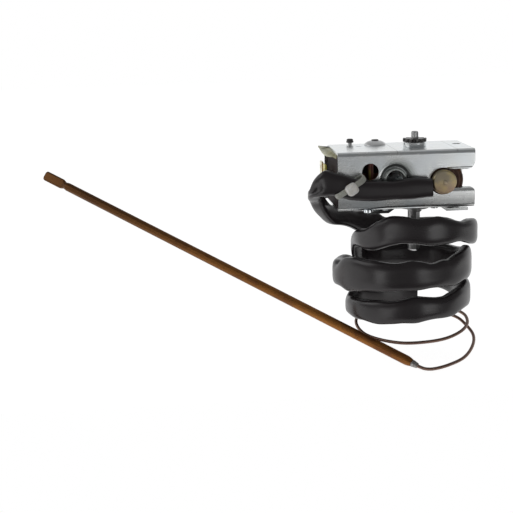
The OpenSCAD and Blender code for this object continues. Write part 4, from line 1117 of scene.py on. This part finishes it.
def blunt(path):
    """Doubles both end points of a path, so that a closed tube ends flat."""
    tiny = 1e-4
    first = path[0] + tiny * unit(path[1] - path[0])
    last = path[-1] - tiny * unit(path[-1] - path[-2])
    return np.vstack([path[:1], first[None], path[1:-1], last[None], path[-1:]])


class THERMOSTAT_OT_capillary(Operator):
    """Copper capillary from the capsule head through the sleeve and its two bare turns to the bulb"""

    bl_idname = "thermostat.capillary"
    bl_label = "Capillary"

    def execute(self, context):
        axis = unit(BULB_FAR - BULB_NEAR)
        inside = [row[:3] for row in SLEEVE_WAY[2:-2]]
        end = [list(BULB_NEAR + k * axis) for k in (-BEAD_L - 0.4, 0, 2)]
        path = curve_through(LEAD_WAY + inside + LEAVING_WAY + BARE_WAY + end, 12)
        points, uv = round_tube(blunt(path), size("capillary") / 2, 16)
        copper = browned_copper("capillary_copper", (0.27, 0.17, 0.13), (0.36, 0.18, 0.08),
                                (0.20, 0.12, 0.11), 0.05)
        lay("capillary_line", points, copper, "copper", "capillary", uv=uv)
        return {"FINISHED"}


def bulb_frame():
    """Axis of the bulb, and the width and thickness directions of its flattened end."""
    axis = unit(BULB_FAR - BULB_NEAR)
    level = unit(np.cross([0.0, 0.0, 1.0], axis))
    down = np.cross(level, axis)
    c, s = math.cos(PADDLE_TURN), math.sin(PADDLE_TURN)
    return axis, c * down + s * level, -s * down + c * level


def bulb_points():
    """Bulb about its straight axis: at distance s from the nose the section is a stadium,
    centre + wide * (f * sgn(cos a) + h * cos a) + thin * h * sin a. Over the long body f = 0 and
    h = radius; over the nose h grows as a quarter sine; past the neck f grows and h shrinks to the
    flattened end, whose last corners are quarter circles."""
    axis, wide, thin = bulb_frame()
    length = np.linalg.norm(BULB_FAR - BULB_NEAR)
    radius = size("bulb") / 2
    neck = length - PADDLE_L - NECK_L
    s = np.concatenate([
        np.linspace(0, NOSE_L, 20, endpoint=False),
        np.linspace(NOSE_L, neck, 260, endpoint=False),
        np.linspace(neck, length - PADDLE_L, 14, endpoint=False),
        np.linspace(length - PADDLE_L, length - PADDLE_ROUND, 50, endpoint=False),
        length - PADDLE_ROUND * (1 - np.sin(np.linspace(0, np.pi / 2, 12))),
    ])
    nose = NOSE_R + (radius - NOSE_R) * np.sin(np.pi / 2 * np.clip(s / NOSE_L, 0, 1))
    body = nose + (NECK_R - radius) * ease(s, neck, neck + NECK_L)
    flat = ease(s, length - PADDLE_L - 1.2, length - PADDLE_L + 2.2)
    left = np.clip((s - (length - PADDLE_ROUND)) / PADDLE_ROUND, 0, 1)
    corner = PADDLE_ROUND * (1 - np.sqrt(np.clip(1 - left**2, 0, 1)))
    h = body + (PADDLE_T / 2 - body) * flat
    full = body + (PADDLE_W / 2 - body) * flat - corner
    h = h * (1 - 0.35 * left**3)
    f = np.clip(full - h, 0, None) * (flat > 0)
    a = np.linspace(0, 2 * np.pi, 48, endpoint=False)
    points = (
        (BULB_NEAR + s[:, None] * axis)[:, None]
        + wide * (f[:, None] * np.sign(np.cos(a)) + h[:, None] * np.cos(a))[..., None]
        + thin * (h[:, None] * np.sin(a))[..., None]
    )
    first = np.broadcast_to(points[:1].mean(1, keepdims=True), points[:1].shape)
    last = np.broadcast_to(points[-1:].mean(1, keepdims=True), points[:1].shape)
    points = np.vstack([first, points, last])
    rows = np.concatenate([[0], s, s[-1:]])
    return points, uv_grid(rows, 2 * np.pi * radius, len(a))


class THERMOSTAT_OT_bulb(Operator):
    """Sensing bulb: long copper tube, soldered to the capillary and flattened at its far end"""

    bl_idname = "thermostat.bulb"
    bl_label = "Sensing bulb"

    def execute(self, context):
        copper = browned_copper("bulb_copper", tint("copper"), (0.30, 0.15, 0.035),
                                (0.10, 0.030, 0.022), 0.03)
        points, uv = bulb_points()
        lay("sensing_bulb", points, copper, "copper", "bulb", uv=uv)
        axis, wide, _ = bulb_frame()
        bead = [(0, 0), (NOSE_R, 0), (1.5, -0.9), (1.25, -2.1), (1.05, -BEAD_L), (0, -BEAD_L)]
        turned("solder_tip", bead, 0.4, BULB_NEAR, axis, wide, solder(tint("steel")), "dull_steel",
               "braze_bead", around=32)
        return {"FINISHED"}


def tie_point(along, across, out):
    """Carries (along, across, out) of the tie's own frame into the shared one."""
    c, s = math.cos(TIE_ANGLE), math.sin(TIE_ANGLE)
    along, across, out = np.broadcast_arrays(along, across, out)
    return TIE_ORIGIN + np.stack([c * along + s * out, across, -s * along + c * out], -1)


def strap_points():
    """Strap round the closed loop: at each point of the loop the section is a superellipse
    W/2 * sgn(cos a)|cos a|^0.3 across the strap and T/2 * sgn(sin a)|sin a|^0.4 outwards; the outer
    face carries ratchet teeth, a saw wave of the running length."""
    loop = evenly(rounded_loop(TIE_CORNERS, 1.5), 420)
    ahead = unit(np.roll(loop, -1, 0) - np.roll(loop, 1, 0))
    outward = np.stack([-ahead[:, 1], ahead[:, 0]], -1)
    run = np.arange(len(loop)) * np.linalg.norm(loop[1] - loop[0])
    a = np.linspace(0, 2 * np.pi, 28, endpoint=False)
    ca = signed_power(np.cos(a), 0.3)
    sa = signed_power(np.sin(a), 0.4)
    teeth = TOOTH * (run / TOOTH_STEP % 1.0)
    height = TIE_T / 2 * sa[None, :] - teeth[:, None] * (np.abs(sa) > 0.9) * (np.abs(ca) < 0.75)
    along = loop[:, :1] + outward[:, :1] * height
    across = loop[:, 1:] + outward[:, 1:] * height
    return tie_point(along, across, TIE_W / 2 * ca[None, :])


def head_points():
    """Ratchet head: superquadric about its centre with half sizes A, B, C,
    (A c(v) c(u), B c(v) s(u), C s(v)), where c and s are cos and sin raised to 0.62 with their
    sign; its face is dimpled over the pawl."""
    u = np.linspace(0, 2 * np.pi, 64, endpoint=False)
    v = np.linspace(-np.pi / 2, np.pi / 2, 40)
    cu, su, cv, sv = (signed_power(x, 0.62) for x in (np.cos(u), np.sin(u), np.cos(v), np.sin(v)))
    cv, sv = cv[:, None], sv[:, None]
    half = np.array(TIE_HEAD_SIZE) / 2
    along = half[0] * cv * cu
    across = half[1] * cv * su
    out = half[2] * sv + 0 * along
    dimple = 0.45 * np.exp(-((along / 1.1) ** 2) - (out / 0.7) ** 2) * (su < 0)
    lump = 0.12 * np.sin(along * 1.7 + 1) * np.sin(out * 1.9)
    at = TIE_HEAD_AT
    return tie_point(at[0] + along * 0.98, at[1] + across + dimple + lump * (np.abs(across) > 1),
                     at[2] + out * 0.98)


class THERMOSTAT_OT_tie(Operator):
    """Nylon tie round the sleeve's first run, with its toothed strap and ratchet head"""

    bl_idname = "thermostat.tie"
    bl_label = "Cable tie"

    def execute(self, context):
        nylon = tint("nylon")
        # The strap is a darker copy of the nylon: painted shade where it lies over the black sleeve
        thin = natural_nylon("thin_nylon", scaled(nylon, 0.53, 0.55, 0.52))
        lay("strap", strap_points(), thin, "nylon", "tie_strap", wrap_rows=True)
        lay("ratchet_head", head_points(), natural_nylon("natural_nylon", nylon), "nylon",
            "tie_head")
        return {"FINISHED"}


class THERMOSTAT_OT_stage(Operator):
    """White floor, soft studio light and the camera"""

    bl_idname = "thermostat.stage"
    bl_label = "Studio"

    def execute(self, context):
        scene = context.scene
        white_floor(scene)
        scene.world = studio_world()
        for name, azimuth, elevation, watts, wide, high in LAMPS:
            lamp = bpy.data.lights.new(name, "AREA")
            lamp.energy = watts
            lamp.shape = "RECTANGLE"
            lamp.size = wide
            lamp.size_y = high
            light = bpy.data.objects.new(name, lamp)
            scene.collection.objects.link(light)
            aim(light, math.radians(azimuth), math.radians(elevation))
        lens = bpy.data.cameras.new("studio_camera")
        lens.sensor_width = SENSOR
        lens.lens = LENS
        lens.clip_start = 0.01
        lens.clip_end = 20.0
        camera = bpy.data.objects.new("studio_camera", lens)
        scene.collection.objects.link(camera)
        camera.matrix_world = camera_place()
        scene.camera = camera
        scene.view_settings.view_transform = "Standard"
        return {"FINISHED"}


def aim(light, azimuth, elevation):
    """Stands a lamp at its azimuth from -Y towards +X and its elevation, looking at the coil."""
    level = math.cos(elevation)
    offset = Vector((math.sin(azimuth) * level, -math.cos(azimuth) * level, math.sin(elevation)))
    light.location = Vector(LAMP_TARGET) + offset * LAMP_DISTANCE
    light.rotation_euler = (-offset).to_track_quat("-Z", "Y").to_euler()


def camera_place():
    """The camera's matrix: it looks ahead past its pivot, tilted down, turned and rolled."""
    tilt, turn, roll = (math.radians(v) for v in (CAMERA_TILT, CAMERA_TURN, CAMERA_ROLL))
    ahead = np.array([math.sin(turn) * math.cos(tilt), math.cos(turn) * math.cos(tilt),
                      -math.sin(tilt)])
    level = np.array([math.cos(turn), -math.sin(turn), 0.0])
    upright = np.cross(level, ahead)
    right = math.cos(roll) * level + math.sin(roll) * upright
    up = -math.sin(roll) * level + math.cos(roll) * upright
    pivot = np.array([0, 0, PIVOT_Z])
    rows = np.eye(4)
    rows[:3, 0], rows[:3, 1], rows[:3, 2] = right, up, -ahead
    rows[:3, 3] = (pivot - CAMERA_BACK * ahead + CAMERA_RIGHT * right + CAMERA_UP * up) * MM
    return Matrix(rows.tolist())


def white_floor(scene):
    """Pale floor: white to the eye and in reflections, and keeping a faint shadow."""
    mesh = bpy.data.meshes.new("floor")
    outline = [(-FLOOR_SIDE, FLOOR_FRONT), (FLOOR_SIDE, FLOOR_FRONT), (FLOOR_SIDE, FLOOR_BACK),
               (-FLOOR_SIDE, FLOOR_BACK)]
    mesh.from_pydata([(x, y, FLOOR_Z) for x, y in outline], [], [(0, 1, 2, 3)])
    floor = bpy.data.objects.new("floor", mesh)
    scene.collection.objects.link(floor)
    material = bpy.data.materials.new("floor_white")
    mesh.materials.append(material)
    f = Nodes(material)
    plain = f.node("BsdfDiffuse", Color=(0.8, 0.8, 0.8, 1))
    painted_pale = f.node("BsdfDiffuse", Color=(0.35, 0.35, 0.35, 1))
    glow = f.node("Emission", Strength=0.93)
    both = f.node("AddShader")
    f.feed(both.inputs[0], painted_pale.outputs[0])
    f.feed(both.inputs[1], glow.outputs[0])
    ray = f.node("LightPath").outputs
    seen = f.maths("MAXIMUM", ray["Is Camera Ray"], ray["Is Glossy Ray"])
    seen = f.maths("MAXIMUM", seen, ray["Is Transmission Ray"])
    f.node("OutputMaterial", Surface=f.choose(seen, plain, both))
    return floor


def studio_world():
    """Studio surround: a white backdrop low behind the object, a mid grey room in front of it, and
    darker overhead. The share of backdrop and the height share are smooth steps of the direction."""
    world = bpy.data.worlds.new("studio")
    f = Nodes(world)
    _, y, z = f.node("SeparateXYZ", Vector=f.node("TexCoord").outputs["Generated"]).outputs

    def step(socket, low, high, start, end):
        return f.spread(socket, low, high, start, end, "SMOOTHSTEP")

    behind = f.times(step(y, 0.0, 1.0, 0.05, 0.45), step(z, 1.0, 0.0, 0.30, 0.62))
    room = f.times(step(z, 0.17, 0.35, -0.42, -0.14), step(z, 1.0, 0.52, -0.08, 0.12))
    mixed = f.node("Mix")
    f.feed(mixed.inputs[0], behind)
    f.feed(mixed.inputs[2], room)
    f.feed(mixed.inputs[3], 1.0)
    air = f.node("Background", Color=(0.985, 0.995, 1, 1), Strength=mixed.outputs[0])
    white = f.node("Background", Color=(1, 1, 1, 1), Strength=1.0)
    ray = f.node("LightPath").outputs
    f.node("OutputWorld", Surface=f.choose(ray["Is Camera Ray"], air, white))
    return world


STEPS = (
    THERMOSTAT_OT_sheet_metal, THERMOSTAT_OT_turned_steel, THERMOSTAT_OT_switch,
    THERMOSTAT_OT_capsule, THERMOSTAT_OT_sleeve, THERMOSTAT_OT_capillary, THERMOSTAT_OT_bulb,
    THERMOSTAT_OT_tie, THERMOSTAT_OT_stage,
)


class THERMOSTAT_PT_sidebar(Panel):
    """Lists the thermostat's settings and steps"""

    bl_idname = "THERMOSTAT_PT_sidebar"
    bl_label = "Thermostat"
    bl_space_type = "VIEW_3D"
    bl_region_type = "UI"
    bl_category = "Thermostat"

    def draw(self, context):
        layout = self.layout
        for group in (context.scene.thermostat_sizes, context.scene.thermostat_colours):
            column = layout.column(align=True)
            for key in group.bl_rna.properties.keys():
                if key not in {"rna_type", "name"}:
                    column.prop(group, key)
        for step in STEPS:
            layout.operator(step.bl_idname)


CLASSES = (ThermostatColours, ThermostatSizes, *STEPS, THERMOSTAT_PT_sidebar)


def register():
    for cls in CLASSES:
        bpy.utils.register_class(cls)
    bpy.types.Scene.thermostat_sizes = PointerProperty(type=ThermostatSizes)
    bpy.types.Scene.thermostat_colours = PointerProperty(type=ThermostatColours)


def unregister():
    del bpy.types.Scene.thermostat_colours
    del bpy.types.Scene.thermostat_sizes
    for cls in reversed(CLASSES):
        bpy.utils.unregister_class(cls)


def main():
    register()
    for step in STEPS:
        group, name = step.bl_idname.split(".")
        getattr(getattr(bpy.ops, group), name)()


if __name__ == "__main__":
    main()
